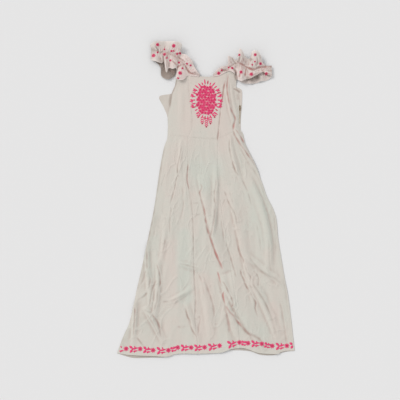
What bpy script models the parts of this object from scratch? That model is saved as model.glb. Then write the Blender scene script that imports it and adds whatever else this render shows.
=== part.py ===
"""Off-shoulder midi dress with an embroidered bodice and ruffle sleeves, laid flat on its back.

The garment lies face up. +X is the right-hand side as seen from above, +Y points to the neck
and +Z points up from the floor. Every panel is a wall of cloth: the back panels lie on the
floor, the front panels lie on them and rise over their folds, and each ruffle sleeve is a back
strip on the floor with a front strip on it. The only hard pieces are the zip's slider and its
pull tab, which turns on the slider's pin.
"""
from collections import namedtuple
import math

import bmesh
import bpy
from mathutils import Matrix, Vector
import numpy as np

MM = 0.001
OBJECT_NAME = "ruffle_sleeve_midi_dress"

# Tables below are in millimetres on a drawing whose zero is the waist seam at centre front.
# This point of the drawing is put at the world's origin.
DRAWING_CENTRE = (-1.5, -271.5)

# Cloth
PANEL_WALL = 1.4
RUFFLE_WALL = 1.2
SEAM_GAP = 0.3
LAYER_GAP = 0.3
BACK_WALL = 1.2
FRONT_LOW = BACK_WALL + LAYER_GAP + PANEL_WALL

# Air between the front and the back, away from the side seams
PUFF_HEIGHT = 4.0
PUFF_REACH = 90.0

# The straps rise to the height of the ruffles' gathering lines
STRAP_HEIGHT = 9.2
STRAP_RISE_FROM = 222.0
STRAP_RISE_TO = 280.0

# Seams and edges, top to bottom or photo left to right
WAIST = [(-169, 15), (-126, 11), (-79, 4), (-20, -1), (35, -4), (52, -3), (79, 8), (119, 27), (151, 36)]
SKIRT_LEFT = [(-169, 15), (-172, -7), (-183, -35), (-194, -84), (-204, -141), (-229, -309), (-249, -410),
              (-282, -567), (-304, -663), (-319, -736), (-338, -814), (-363, -870), (-392, -947)]
SKIRT_RIGHT = [(151, 36), (163, 15), (172, -26), (204, -91), (226, -141), (246, -197), (268, -259),
               (296, -315), (310, -365), (319, -455), (346, -618), (360, -691), (374, -797), (389, -936)]
FRONT_HEM = [(-392, -947), (-342, -954), (-290, -957), (-236, -959), (-183, -962), (-156, -958), (-143, -952),
             (-103, -948), (-33, -949), (47, -946), (77, -941), (106, -930), (150, -923), (180, -928),
             (224, -944), (268, -949), (315, -950), (327, -942), (357, -936), (389, -936)]
BACK_HEM = [(-392, -947), (-342, -963), (-310, -968), (-236, -966), (-183, -964), (-100, -945), (60, -935),
            (180, -936), (240, -954), (300, -955), (340, -942), (389, -936)]
GORE_LEFT = [(-79, 4), (-81, -141), (-72, -268), (-58, -345), (-55, -453), (-53, -625), (-48, -801),
             (-33, -949)]
GORE_RIGHT = [(52, -3), (51, -141), (62, -273), (88, -449), (112, -603), (136, -757), (150, -923)]

PRINCESS_LEFT = [(-78, 289), (-77, 229), (-75, 194), (-70, 158), (-63, 123), (-60, 88), (-62, 44), (-79, 4)]
PRINCESS_RIGHT = [(97, 308), (90, 270), (82, 229), (76, 194), (70, 158), (64, 123), (60, 88), (55, 44),
                  (52, -3)]
SIDE_LEFT = [(-123, 308), (-126, 273), (-130, 246), (-141, 220), (-152, 194), (-158, 158), (-165, 123),
             (-169, 88), (-168, 53), (-169, 15)]
SIDE_RIGHT = [(136, 319), (136, 282), (134, 255), (132, 238), (134, 218), (141, 200), (145, 176), (146, 150),
              (145, 123), (144, 88), (142, 60), (151, 36)]
NECKLINE = [(-78, 289), (-66, 281), (-28, 271), (0, 268), (31, 271), (68, 292), (97, 308)]
STRAP_TOP_LEFT = [(-123, 308), (-105, 316), (-91, 315), (-78, 289)]
STRAP_TOP_RIGHT = [(97, 308), (116, 318), (136, 319)]
BODICE_BACK = [(-169, 86), (-185, 132), (-206, 181), (-155, 194), (-143, 209), (-138, 228),
               (-136, 250), (-133, 266), (-120, 267), (-101, 258), (-70, 255), (-26, 251), (44, 251),
               (88, 255), (110, 262), (129, 256), (131, 226), (156, 210), (158, 165), (156, 128),
               (152, 88), (152, 48)]

# Whole sides of the front, from the strap to the hem
LEFT_EDGE = SIDE_LEFT + SKIRT_LEFT[1:]
RIGHT_EDGE = SIDE_RIGHT + SKIRT_RIGHT[1:]

# Folds of the front. A fold is a ridge along a bent line, with its own width on each side.
# West and east are the photo's left and right of a line that runs down; of one that runs
# across, west is its lower side. A negative height is a valley.
Fold = namedtuple("Fold", "start bend end height west east")
FOLDS = [
    Fold((-32, -160), (16, -410), (84, -590), 11, 14, 46),
    Fold((52, -570), (86, -713), (128, -880), 8, 12, 34),
    Fold((70, -600), (118, -752), (262, -935), 16, 20, 95),
    Fold((44, -110), (50, -286), (22, -465), 6, 22, 16),
    Fold((99, -210), (140, -405), (214, -745), 8, 16, 40),
    Fold((172, -520), (240, -573), (345, -650), 6, 14, 26),
    Fold((161, -130), (301, -354), (279, -580), 9, 30, 18),
    Fold((196, -620), (251, -730), (322, -905), 8, 18, 34),
    Fold((-178, -340), (-186, -480), (-202, -560), 4, 16, 16),
    Fold((-260, -450), (-266, -568), (-243, -750), 8, 16, 22),
    Fold((-215, -520), (-205, -646), (-232, -810), 7, 14, 20),
    Fold((-275, -740), (-236, -803), (-184, -905), 9, 16, 24),
    Fold((-316, -700), (-315, -801), (-325, -930), 6, 14, 20),
    Fold((-130, -548), (-63, -572), (-20, -582), 4, 14, 16),
    Fold((-165, -728), (-108, -697), (-50, -650), 5, 14, 22),
    Fold((-92, -720), (-63, -803), (-30, -900), 6, 14, 18),
    Fold((-109, 0), (-121, -99), (-112, -190), 4, 12, 14),
    Fold((102, 20), (115, -83), (155, -200), 5, 12, 14),
    Fold((121, 60), (150, -40), (245, -180), 8, 14, 20),
    Fold((90, 262), (92, 150), (124, 60), 6, 12, 12),
    Fold((108, 250), (112, 170), (138, 90), 4, 14, 12),
    Fold((-108, 250), (-112, 150), (-108, 60), 2, 18, 18),
    Fold((92, -770), (116, -870), (140, -960), -5, 26, 22),
    Fold((-20, -620), (10, -760), (22, -900), 5, 26, 30),
]

# Ruffles. A row is one crest or valley of the gathered strip, from its outer end to the neck:
# the place on the gathering line, then the free edges above and below it with their heights.
Crest = namedtuple("Crest", "gather upper upper_height lower lower_height")
FRONT_RUFFLE_LEFT = [
    Crest((-240, 385), (-246, 407), 10.9, (-243, 341), 10.9),
    Crest((-220, 381), (-227, 421), 26, (-222, 334), 24),
    Crest((-200, 377), (-200, 425), 18, (-196, 327), 14),
    Crest((-184, 373), (-176, 420), 15, (-185, 332), 11),
    Crest((-174, 370), (-156, 422), 24, (-175, 286), 22),
    Crest((-163, 367), (-136, 423), 30, (-163, 306), 13),
    Crest((-145, 361), (-117, 419), 30, (-148, 300), 26),
    Crest((-130, 352), (-106, 405), 26, (-132, 304), 22),
    Crest((-117, 341), (-109, 372), 12, (-130, 290), 12),
    Crest((-103, 328), (-86, 362), 24, (-131, 258), 24),
    Crest((-92, 316), (-62, 337), 22, (-101, 253), 18),
    Crest((-81, 297), (-55, 319), 14, (-81, 273), 11),
    Crest((-64, 282), (-43, 297), 16, (-64, 271), 11),
    Crest((-29, 273), (-27, 278), 11, (-29, 268), 10.9),
]
FRONT_RUFFLE_RIGHT = [
    Crest((287, 301), (288, 317), 10.9, (290, 271), 10.9),
    Crest((262, 306), (262, 317), 13, (266, 277), 18),
    Crest((242, 308), (246, 332), 18, (251, 288), 15),
    Crest((224, 302), (238, 361), 28, (235, 283), 14),
    Crest((208, 297), (218, 380), 36, (216, 271), 20),
    Crest((194, 302), (200, 374), 30, (196, 260), 24),
    Crest((180, 309), (191, 348), 11, (182, 257), 13),
    Crest((167, 316), (172, 355), 18, (169, 254), 17),
    Crest((154, 323), (156, 381), 34, (154, 247), 25),
    Crest((141, 328), (144, 386), 32, (136, 255), 20),
    Crest((130, 328), (135, 341), 11, (131, 266), 11),
    Crest((119, 321), (117, 351), 16, (128, 277), 18),
    Crest((108, 312), (95, 356), 26, (117, 286), 22),
    Crest((95, 306), (95, 320), 13, (101, 293), 12),
    Crest((75, 295), (68, 312), 20, (79, 284), 12),
    Crest((53, 282), (44, 295), 16, (57, 273), 11),
    Crest((31, 273), (30, 277), 11, (31, 268), 10.9),
]
BACK_RUFFLE_LEFT = [
    Crest((-239, 380), (-245, 406), 9.3, (-242.5, 342), 9.3),
    Crest((-216, 356), (-211, 403), 4, (-222, 334), 2),
    Crest((-194, 334), (-180, 387), 8, (-200, 308), 8),
    Crest((-174, 312), (-154, 365), 3, (-196, 271), 3),
    Crest((-154, 293), (-136, 334), 8, (-167, 257), 9),
    Crest((-136, 277), (-131, 299), 4, (-140, 271), 3),
]
BACK_RUFFLE_RIGHT = [
    Crest((285, 290), (285, 313), 9.2, (288, 268), 9.2),
    Crest((260, 284), (260, 315), 3, (268, 253), 2),
    Crest((238, 279), (238, 319), 8, (242, 249), 8),
    Crest((216, 277), (216, 317), 3, (218, 240), 2),
    Crest((194, 277), (194, 317), 8, (194, 238), 8),
    Crest((172, 282), (172, 319), 3, (167, 240), 3),
    Crest((156, 287), (156, 320), 8, (146, 249), 8),
    Crest((142, 293), (142, 318), 4, (140, 262), 3),
]
FRONT_GATHER_HEIGHT = 11.0
BACK_GATHER_HEIGHT = 3.0
GATHER_FOLLOWS = 0.25
BULGE = 0.95

# Side zip, in the seam at the wearer's left. Its pull tab turns on a pin across the slider.
ZIP_LINE = [(148.8, 143), (148.8, 123), (148.0, 88), (147.4, 64)]
ZIP_TAPE_WIDTH = 4.6
ZIP_TAPE_WALL = 0.8
SLIDER_CENTRE = (148.8, 138.5)
SLIDER_SIZE = (4.4, 8.0, 1.2)
CHEEK_SIZE = (0.8, 2.0, 2.6)
CHEEK_SPREAD = 3.2
PIN_RADIUS = 0.5
PIN_HEIGHT = 5.4
EYE_BORE = 0.8
EYE_OUTER = 1.3
EYE_WIDTH = 2.0
TAB_SIZE = (4.4, 17.0, 1.0)
TAB_START = 2.2
TAB_DROOP = math.radians(7.0)

# Grid of each panel, cells across and down, the same on both sides of a seam
GRIDS = {
    "skirt_front_left": (12, 38),
    "skirt_front_centre": (10, 38),
    "skirt_front_right": (12, 38),
    "bodice_front_centre": (10, 16),
    "bodice_side_front_left": (12, 16),
    "bodice_side_front_right": (12, 16),
}
FRONT_RUFFLE_STEPS = 3
FRONT_RUFFLE_ACROSS = 4
BACK_RUFFLE_STEPS = 4
BACK_RUFFLE_ACROSS = 2
OUTLINE_POINTS = 36
WAIST_POINTS = 12
FOLD_SAMPLES = 14

# Colours of the finishes
Finish = namedtuple("Finish", "colour roughness metallic")
COTTON = Finish((0.62, 0.58, 0.52), 0.85, 0.0)
RUFFLE_COTTON = Finish((0.60, 0.55, 0.50), 0.85, 0.0)
TAPE = Finish((0.55, 0.48, 0.40), 0.8, 0.0)
BRASS = Finish((0.22, 0.14, 0.08), 0.4, 0.8)


def clear_scene():
    """Removes every object of the open scene."""
    for thing in list(bpy.data.objects):
        bpy.data.objects.remove(thing, do_unlink=True)


def make_material(name, finish):
    """Gives a Principled material in the finish's colour."""
    material = bpy.data.materials.new(name)
    material.use_nodes = True
    shader = material.node_tree.nodes["Principled BSDF"]
    shader.inputs["Base Color"].default_value = (*finish.colour, 1.0)
    shader.inputs["Roughness"].default_value = finish.roughness
    shader.inputs["Metallic"].default_value = finish.metallic
    return material


def curve_through(points, steps):
    """Samples a smooth curve through the points, in equal steps of its length."""
    knots = np.array(points, dtype=float)
    ends = np.vstack([2 * knots[0] - knots[1], knots, 2 * knots[-1] - knots[-2]])
    fine = []
    for i in range(len(knots) - 1):
        a, b, c, d = ends[i:i + 4]
        for t in np.linspace(0, 1, 12, endpoint=False):
            fine.append(0.5 * (2 * b + (c - a) * t + (2 * a - 5 * b + 4 * c - d) * t ** 2
                               + (3 * b - a - 3 * c + d) * t ** 3))
    fine.append(knots[-1])
    fine = np.array(fine)
    reach = np.concatenate([[0], np.cumsum(np.linalg.norm(np.diff(fine, axis=0), axis=1))])
    wanted = np.linspace(0, reach[-1], steps + 1)
    return np.column_stack([np.interp(wanted, reach, fine[:, k]) for k in range(fine.shape[1])])


def stretch_between(points, first, last):
    """Gives the part of a seam that runs between two of its points, both included."""
    return points[points.index(first):points.index(last) + 1]


def moved(points, dx, dy):
    """Moves a list of drawing points, so that two panels keep a gap at their seam."""
    return [(x + dx, y + dy) for x, y in points]


def panel_plan(top, bottom, left, right, across, down):
    """Spreads a grid of points between a panel's four edges (a Coons patch)."""
    top, bottom = curve_through(top, across), curve_through(bottom, across)
    left, right = curve_through(left, down), curve_through(right, down)
    u = np.linspace(0, 1, across + 1)[None, :, None]
    v = np.linspace(0, 1, down + 1)[:, None, None]
    sides = (1 - u) * left[:, None, :] + u * right[:, None, :]
    ends = (1 - v) * top[None, :, :] + v * bottom[None, :, :]
    corners = ((1 - u) * (1 - v) * top[0] + u * (1 - v) * top[-1]
               + (1 - u) * v * bottom[0] + u * v * bottom[-1])
    return sides + ends - corners


def smooth_step(value):
    """Eases from 0 to 1 as the value goes from 0 to 1."""
    t = np.clip(value, 0, 1)
    return t * t * (3 - 2 * t)


def fold_rise(fold, x, y):
    """Height that one fold adds at drawing points x, y."""
    t = np.linspace(0, 1, FOLD_SAMPLES)[:, None]
    line = ((1 - t) ** 2 * np.array(fold.start) + 2 * t * (1 - t) * np.array(fold.bend)
            + t ** 2 * np.array(fold.end))
    nearest = np.full(x.shape, np.inf)
    signed = np.zeros(x.shape)
    along = np.zeros(x.shape)
    for i in range(FOLD_SAMPLES - 1):
        a, step = line[i], line[i + 1] - line[i]
        s = np.clip(((x - a[0]) * step[0] + (y - a[1]) * step[1]) / (step @ step), 0, 1)
        off_x, off_y = x - a[0] - s * step[0], y - a[1] - s * step[1]
        distance = np.hypot(off_x, off_y)
        closer = distance < nearest
        nearest = np.where(closer, distance, nearest)
        signed = np.where(closer, distance * np.sign(step[0] * off_y - step[1] * off_x), signed)
        along = np.where(closer, (i + s) / (FOLD_SAMPLES - 1), along)
    width = np.where(signed > 0, fold.east, fold.west)
    profile = np.clip(1 - (signed / width) ** 2, 0, None) ** 2
    taper = np.clip(4 * along * (1 - along), 0, 1) ** 0.75
    return fold.height * profile * taper


def edge_at(edge, y):
    """Place of a side edge at the drawing height y."""
    rows = sorted((point[1], point[0]) for point in edge)
    return np.interp(y, [row[0] for row in rows], [row[1] for row in rows])


def front_height(x, y):
    """Height of the front panels' upper face over the floor, at drawing points x, y."""
    inset = np.minimum(x - edge_at(LEFT_EDGE, y), edge_at(RIGHT_EDGE, y) - x)
    rise = PUFF_HEIGHT * smooth_step(inset / PUFF_REACH)
    for fold in FOLDS:
        rise = rise + fold_rise(fold, x, y)
    height = FRONT_LOW + np.clip(rise, 0, None)
    strap = smooth_step((y - STRAP_RISE_FROM) / (STRAP_RISE_TO - STRAP_RISE_FROM))
    return height * (1 - strap) + STRAP_HEIGHT * strap


def world(x, y, z=0.0):
    """Turns a drawing point with its height in millimetres into world metres."""
    return Vector(((x - DRAWING_CENTRE[0]) * MM, (y - DRAWING_CENTRE[1]) * MM, z * MM))


def new_object(name, mesh, collection, material):
    """Puts a mesh in the scene under its name, with one material."""
    thing = bpy.data.objects.new(name, mesh)
    mesh.materials.clear()
    mesh.materials.append(material)
    collection.objects.link(thing)
    return thing


def grid_mesh(name, points):
    """Makes a sheet of quads from rows of world points."""
    rows, columns = len(points), len(points[0])
    vertices = [tuple(point) for row in points for point in row]
    faces = []
    for r in range(rows - 1):
        for c in range(columns - 1):
            first = r * columns + c
            faces.append((first, first + columns, first + columns + 1, first + 1))
    mesh = bpy.data.meshes.new(name)
    mesh.from_pydata(vertices, [], faces)
    mesh.update()
    return mesh


def thicken(thing, wall, offset=-1.0):
    """Gives an open sheet its wall with Solidify."""
    solidify = thing.modifiers.new("wall", "SOLIDIFY")
    solidify.thickness = wall * MM
    solidify.offset = offset
    solidify.use_even_offset = False
    return solidify


def apply_modifiers(thing):
    """Replaces an object's mesh with its evaluated one."""
    graph = bpy.context.evaluated_depsgraph_get()
    result = bpy.data.meshes.new_from_object(thing.evaluated_get(graph))
    thing.modifiers.clear()
    thing.data = result


def front_panel(name, edges, collection, material):
    """Builds a front panel: a flat sheet with its wall, then raised over the folds."""
    plan = panel_plan(*edges, *GRIDS[name])
    flat = [[world(x, y) for x, y in row] for row in plan]
    panel = new_object(name, grid_mesh(name, flat), collection, material)
    thicken(panel, PANEL_WALL)
    apply_modifiers(panel)
    count = len(panel.data.vertices)
    places = np.empty(count * 3)
    panel.data.vertices.foreach_get("co", places)
    places = places.reshape(count, 3)
    x = places[:, 0] / MM + DRAWING_CENTRE[0]
    y = places[:, 1] / MM + DRAWING_CENTRE[1]
    places[:, 2] += front_height(x, y) * MM
    panel.data.vertices.foreach_set("co", places.ravel())
    panel.data.update()
    panel.data.shade_smooth()
    return panel


def flat_panel(name, outline, collection, material):
    """Builds a back panel that lies on the floor: a filled outline with the wall's depth."""
    curve = bpy.data.curves.new(name, "CURVE")
    curve.dimensions = "2D"
    curve.fill_mode = "BOTH"
    curve.extrude = BACK_WALL * MM / 2
    spline = curve.splines.new("POLY")
    spline.points.add(len(outline) - 1)
    for point, (x, y) in zip(spline.points, outline):
        place = world(x, y)
        point.co = (place.x, place.y, 0.0, 1.0)
    spline.use_cyclic_u = True
    drawn = bpy.data.objects.new(name + "_outline", curve)
    drawn.location.z = BACK_WALL * MM / 2
    collection.objects.link(drawn)
    bpy.context.view_layer.update()
    graph = bpy.context.evaluated_depsgraph_get()
    mesh = bpy.data.meshes.new_from_object(drawn.evaluated_get(graph))
    mesh.name = name
    mesh.transform(drawn.matrix_world)
    bpy.data.objects.remove(drawn, do_unlink=True)
    weld(mesh)
    return new_object(name, mesh, collection, material)


def weld(mesh, distance=0.00002):
    """Joins the loose caps and walls of a mesh."""
    shape = bmesh.new()
    shape.from_mesh(mesh)
    bmesh.ops.remove_doubles(shape, verts=shape.verts, dist=distance)
    shape.to_mesh(mesh)
    shape.free()


def ruffle_points(rows, gather_height, steps, across):
    """Spreads a grid of points over a gathered strip, a section for each crest and valley."""
    table = np.array([[*row.gather, *row.upper, row.upper_height, *row.lower, row.lower_height]
                      for row in rows])
    lift = GATHER_FOLLOWS * ((table[:, 4] + table[:, 7]) / 2 - gather_height)
    gather_z = gather_height + np.clip(lift, 0, None)
    sections = np.column_stack([table[:, :2], gather_z, table[:, 2:]])
    sections = curve_between_rows(sections, steps)
    points = []
    for row in sections:
        gather, upper, lower = row[0:3], row[3:6], row[6:9]
        line = [bent(upper, gather, t) for t in np.linspace(0, 1, across + 1)]
        line += [bent(lower, gather, t) for t in np.linspace(1, 0, across + 1)][1:]
        points.append([world(*point) for point in line])
    return points


def bent(edge, gather, t):
    """A point between a free edge (t = 0) and the gather (t = 1), bulging up in between."""
    middle = (edge + gather) / 2
    middle[2] = gather[2] + (edge[2] - gather[2]) * BULGE
    return (1 - t) ** 2 * edge + 2 * t * (1 - t) * middle + t ** 2 * gather


def curve_between_rows(rows, steps):
    """Adds smooth sections between the rows of a table, the same number after each row."""
    ends = np.vstack([2 * rows[0] - rows[1], rows, 2 * rows[-1] - rows[-2]])
    result = []
    for i in range(len(rows) - 1):
        a, b, c, d = ends[i:i + 4]
        for t in np.linspace(0, 1, steps, endpoint=False):
            result.append(0.5 * (2 * b + (c - a) * t + (2 * a - 5 * b + 4 * c - d) * t ** 2
                                 + (3 * b - a - 3 * c + d) * t ** 3))
    result.append(rows[-1])
    return np.array(result)


def ruffle(name, rows, gather_height, steps, across, collection, material):
    """Builds a gathered strip as a wall of cloth."""
    points = ruffle_points(rows, gather_height, steps, across)
    strip = new_object(name, grid_mesh(name, points), collection, material)
    face_up(strip.data)
    thicken(strip, RUFFLE_WALL)
    strip.data.shade_smooth()
    return strip


def face_up(mesh):
    """Turns a sheet's faces so that they look up."""
    if sum(polygon.normal.z * polygon.area for polygon in mesh.polygons) < 0:
        mesh.flip_normals()


def zip_tape(collection, material):
    """Builds the visible edge of the zip: a narrow tape on the back panel beside the front's edge."""
    line = curve_through(ZIP_LINE, 12)
    z = BACK_WALL + LAYER_GAP + ZIP_TAPE_WALL
    rows = [[world(x - ZIP_TAPE_WIDTH / 2, y, z), world(x + ZIP_TAPE_WIDTH / 2, y, z)] for x, y in line]
    tape = new_object("zip_tape", grid_mesh("zip_tape", rows), collection, material)
    face_up(tape.data)
    thicken(tape, ZIP_TAPE_WALL)
    return tape


def box_mesh(name, size, centre):
    """Makes a block from its size and centre, both in millimetres about the slider's centre."""
    shape = bmesh.new()
    bmesh.ops.create_cube(shape, size=1.0)
    scale = Matrix.Diagonal((size[0] * MM, size[1] * MM, size[2] * MM, 1.0))
    bmesh.ops.transform(shape, matrix=Matrix.Translation(Vector(centre) * MM) @ scale, verts=shape.verts)
    mesh = bpy.data.meshes.new(name)
    shape.to_mesh(mesh)
    shape.free()
    return mesh


def rod_mesh(name, radius, length, centre, sides=16):
    """Makes a round rod along X, in millimetres about the slider's centre."""
    shape = bmesh.new()
    bmesh.ops.create_cone(shape, cap_ends=True, segments=sides, radius1=radius * MM,
                          radius2=radius * MM, depth=length * MM)
    turn = Matrix.Rotation(math.pi / 2, 4, "Y")
    bmesh.ops.transform(shape, matrix=Matrix.Translation(Vector(centre) * MM) @ turn, verts=shape.verts)
    mesh = bpy.data.meshes.new(name)
    shape.to_mesh(mesh)
    shape.free()
    return mesh


def combine(body, meshes, operation, cutters):
    """Joins or cuts a body with each of the meshes, one Boolean after the other."""
    for number, mesh in enumerate(meshes):
        tool = bpy.data.objects.new(f"{body.name}_tool_{number}", mesh)
        tool.hide_render = True
        tool.display_type = "WIRE"
        tool.matrix_world = body.matrix_world
        cutters.objects.link(tool)
        boolean = body.modifiers.new(f"{operation.lower()}_{number}", "BOOLEAN")
        boolean.operation = operation
        boolean.object = tool


def zip_slider(collection, cutters, material):
    """Builds the slider: its body, two cheeks and the pin between them."""
    low = BACK_WALL + LAYER_GAP + ZIP_TAPE_WALL + LAYER_GAP
    body_mesh = box_mesh("zip_slider", SLIDER_SIZE, (0, 0, low + SLIDER_SIZE[2] / 2))
    slider = new_object("zip_slider", body_mesh, collection, material)
    slider.location = world(*SLIDER_CENTRE)
    bpy.context.view_layer.update()
    cheek_z = low + SLIDER_SIZE[2] - 0.2 + CHEEK_SIZE[2] / 2
    cheeks = [box_mesh("cheek", CHEEK_SIZE, (side * CHEEK_SPREAD / 2, 0, cheek_z)) for side in (-1, 1)]
    pin = rod_mesh("pin", PIN_RADIUS, CHEEK_SPREAD, (0, 0, PIN_HEIGHT))
    combine(slider, cheeks + [pin], "UNION", cutters)
    return slider


def zip_pull(collection, cutters, material):
    """Builds the pull tab about the slider's pin: an eye, a narrow neck and the tab."""
    eye = rod_mesh("zip_pull", EYE_OUTER, EYE_WIDTH, (0, 0, 0), 24)
    pull = new_object("zip_pull", eye, collection, material)
    pull.location = world(*SLIDER_CENTRE, PIN_HEIGHT)
    pull.rotation_euler = (TAB_DROOP, 0.0, 0.0)
    bpy.context.view_layer.update()
    neck_length = TAB_START + 1.0 - EYE_BORE
    neck = box_mesh("neck", (EYE_WIDTH, neck_length, TAB_SIZE[2]), (0, -EYE_BORE - neck_length / 2, 0))
    tab = box_mesh("tab", TAB_SIZE, (0, -TAB_START - TAB_SIZE[1] / 2, 0))
    combine(pull, [neck, tab], "UNION", cutters)
    bore = rod_mesh("bore", EYE_BORE, EYE_WIDTH * 2, (0, 0, 0), 24)
    combine(pull, [bore], "DIFFERENCE", cutters)
    return pull


def build_bodice(collection, cotton):
    """Builds the centre front, the two side fronts and the back."""
    half = SEAM_GAP / 2
    waist_left = moved(stretch_between(WAIST, WAIST[0], (-79, 4)), 0, half)
    waist_centre = moved(stretch_between(WAIST, (-79, 4), (52, -3)), 0, half)
    waist_right = moved(stretch_between(WAIST, (52, -3), WAIST[-1]), 0, half)
    inner_left, inner_right = moved(PRINCESS_LEFT, half, 0), moved(PRINCESS_RIGHT, -half, 0)
    front_panel("bodice_front_centre", (NECKLINE, waist_centre, inner_left, inner_right), collection, cotton)
    front_panel("bodice_side_front_left",
                (STRAP_TOP_LEFT, waist_left, SIDE_LEFT, moved(PRINCESS_LEFT, -half, 0)), collection, cotton)
    outer_right = moved(PRINCESS_RIGHT, half, 0)
    front_panel("bodice_side_front_right",
                (STRAP_TOP_RIGHT, waist_right, outer_right, SIDE_RIGHT), collection, cotton)
    waist_line = [tuple(point) for point in curve_through(moved(WAIST, 0, half), WAIST_POINTS)]
    flat_panel("bodice_back", BODICE_BACK + waist_line[::-1], collection, cotton)


def build_skirt(collection, cotton):
    """Builds the three front gores and the back."""
    half = SEAM_GAP / 2
    front_panel("skirt_front_left",
                (moved(stretch_between(WAIST, WAIST[0], (-79, 4)), 0, -half),
                 FRONT_HEM[:9], SKIRT_LEFT, moved(GORE_LEFT, -half, 0)), collection, cotton)
    front_panel("skirt_front_centre",
                (moved(stretch_between(WAIST, (-79, 4), (52, -3)), 0, -half),
                 FRONT_HEM[8:13], moved(GORE_LEFT, half, 0), moved(GORE_RIGHT, -half, 0)), collection, cotton)
    front_panel("skirt_front_right",
                (moved(stretch_between(WAIST, (52, -3), WAIST[-1]), 0, -half),
                 FRONT_HEM[12:], moved(GORE_RIGHT, half, 0), SKIRT_RIGHT), collection, cotton)
    outline = [tuple(point) for point in curve_through(moved(WAIST, 0, -half), WAIST_POINTS)]
    outline += [tuple(point) for point in curve_through(SKIRT_RIGHT, OUTLINE_POINTS)][1:]
    outline += [tuple(point) for point in curve_through(BACK_HEM[::-1], OUTLINE_POINTS)][1:]
    outline += [tuple(point) for point in curve_through(SKIRT_LEFT[::-1], OUTLINE_POINTS)][1:-1]
    flat_panel("skirt_back", outline, collection, cotton)


def build_sleeves(collection, cotton):
    """Builds each ruffle sleeve: a back strip on the floor and a front strip on it."""
    for side, rows in (("left", BACK_RUFFLE_LEFT), ("right", BACK_RUFFLE_RIGHT)):
        ruffle(f"sleeve_{side}_back_ruffle", rows, BACK_GATHER_HEIGHT, BACK_RUFFLE_STEPS,
               BACK_RUFFLE_ACROSS, collection, cotton)
    for side, rows in (("left", FRONT_RUFFLE_LEFT), ("right", FRONT_RUFFLE_RIGHT)):
        ruffle(f"sleeve_{side}_front_ruffle", rows, FRONT_GATHER_HEIGHT, FRONT_RUFFLE_STEPS,
               FRONT_RUFFLE_ACROSS, collection, cotton)


def main():
    """Builds the dress."""
    clear_scene()
    dress = bpy.data.collections.new(OBJECT_NAME)
    cutters = bpy.data.collections.new("cutters")
    bpy.context.scene.collection.children.link(dress)
    bpy.context.scene.collection.children.link(cutters)
    cotton = make_material("ivory_cotton", COTTON)
    build_bodice(dress, cotton)
    build_skirt(dress, cotton)
    build_sleeves(dress, make_material("ruffle_cotton", RUFFLE_COTTON))
    zip_tape(dress, make_material("zip_tape", TAPE))
    brass = make_material("aged_brass", BRASS)
    zip_slider(dress, cutters, brass)
    zip_pull(dress, cutters, brass)


main()
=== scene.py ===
"""Looks of an off-shoulder midi dress with an embroidered bodice and ruffle sleeves, laid flat.

The dress lies face up on a pale floor. +X is the right-hand side as seen from above, +Y points
to the neck and +Z up from the floor. Every cloth piece is a thin sheet on the form of its
construction solid, with finer creases; the embroidery and the stitches lie on these sheets and
follow their folds. The zip's slider and pull tab are the construction's own solids.
"""
from dataclasses import dataclass, field
from enum import Enum
import logging
import math
from typing import Iterable, NamedTuple, Sequence

import bmesh
import bpy
from bpy.types import Material, Mesh, Node, NodeInputs, NodeOutputs, NodeSocket, NodeTree, Object
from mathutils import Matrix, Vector
from mathutils.bvhtree import BVHTree
import numpy as np


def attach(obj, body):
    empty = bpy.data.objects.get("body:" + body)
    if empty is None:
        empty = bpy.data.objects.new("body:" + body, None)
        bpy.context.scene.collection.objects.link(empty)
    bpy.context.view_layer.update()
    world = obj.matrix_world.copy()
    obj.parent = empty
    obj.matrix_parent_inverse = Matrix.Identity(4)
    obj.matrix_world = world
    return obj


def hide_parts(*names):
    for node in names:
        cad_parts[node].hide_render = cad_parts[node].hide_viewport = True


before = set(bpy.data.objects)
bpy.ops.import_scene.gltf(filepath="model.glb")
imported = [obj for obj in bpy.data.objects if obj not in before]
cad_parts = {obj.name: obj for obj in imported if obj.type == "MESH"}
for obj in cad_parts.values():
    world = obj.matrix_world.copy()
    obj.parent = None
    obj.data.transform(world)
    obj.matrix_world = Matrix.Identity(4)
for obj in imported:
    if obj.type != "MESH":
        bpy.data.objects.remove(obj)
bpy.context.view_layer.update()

logging.basicConfig(level=logging.INFO, format="%(message)s")
log = logging.getLogger("dress")

MM = 0.001
MM_PER_METRE = 1000.0
DRESS = "dress"
Point = tuple[float, float]
Colour = tuple[float, float, float]

# The drawing of the dress, in millimetres from the waist seam at centre front, as the
# construction has it. This point of the drawing lies at the world's origin.
DRAWING_CENTRE = (-1.5, -271.5)

WAIST = [(-169, 15), (-126, 11), (-79, 4), (-20, -1), (35, -4), (52, -3), (79, 8), (119, 27), (151, 36)]
SKIRT_LEFT = [(-169, 15), (-172, -7), (-183, -35), (-194, -84), (-204, -141), (-229, -309), (-249, -410),
              (-282, -567), (-304, -663), (-319, -736), (-338, -814), (-363, -870), (-392, -947)]
SKIRT_RIGHT = [(151, 36), (163, 15), (172, -26), (204, -91), (226, -141), (246, -197), (268, -259),
               (296, -315), (310, -365), (319, -455), (346, -618), (360, -691), (374, -797), (389, -936)]
FRONT_HEM = [(-392, -947), (-342, -954), (-290, -957), (-236, -959), (-183, -962), (-156, -958), (-143, -952),
             (-103, -948), (-33, -949), (47, -946), (77, -941), (106, -930), (150, -923), (180, -928),
             (224, -944), (268, -949), (315, -950), (327, -942), (357, -936), (389, -936)]
BACK_HEM = [(-392, -947), (-342, -963), (-310, -968), (-236, -966), (-183, -964), (-100, -945), (60, -935),
            (180, -936), (240, -954), (300, -955), (340, -942), (389, -936)]
GORE_LEFT = [(-79, 4), (-81, -141), (-72, -268), (-58, -345), (-55, -453), (-53, -625), (-48, -801),
             (-33, -949)]
GORE_RIGHT = [(52, -3), (51, -141), (62, -273), (88, -449), (112, -603), (136, -757), (150, -923)]
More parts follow.
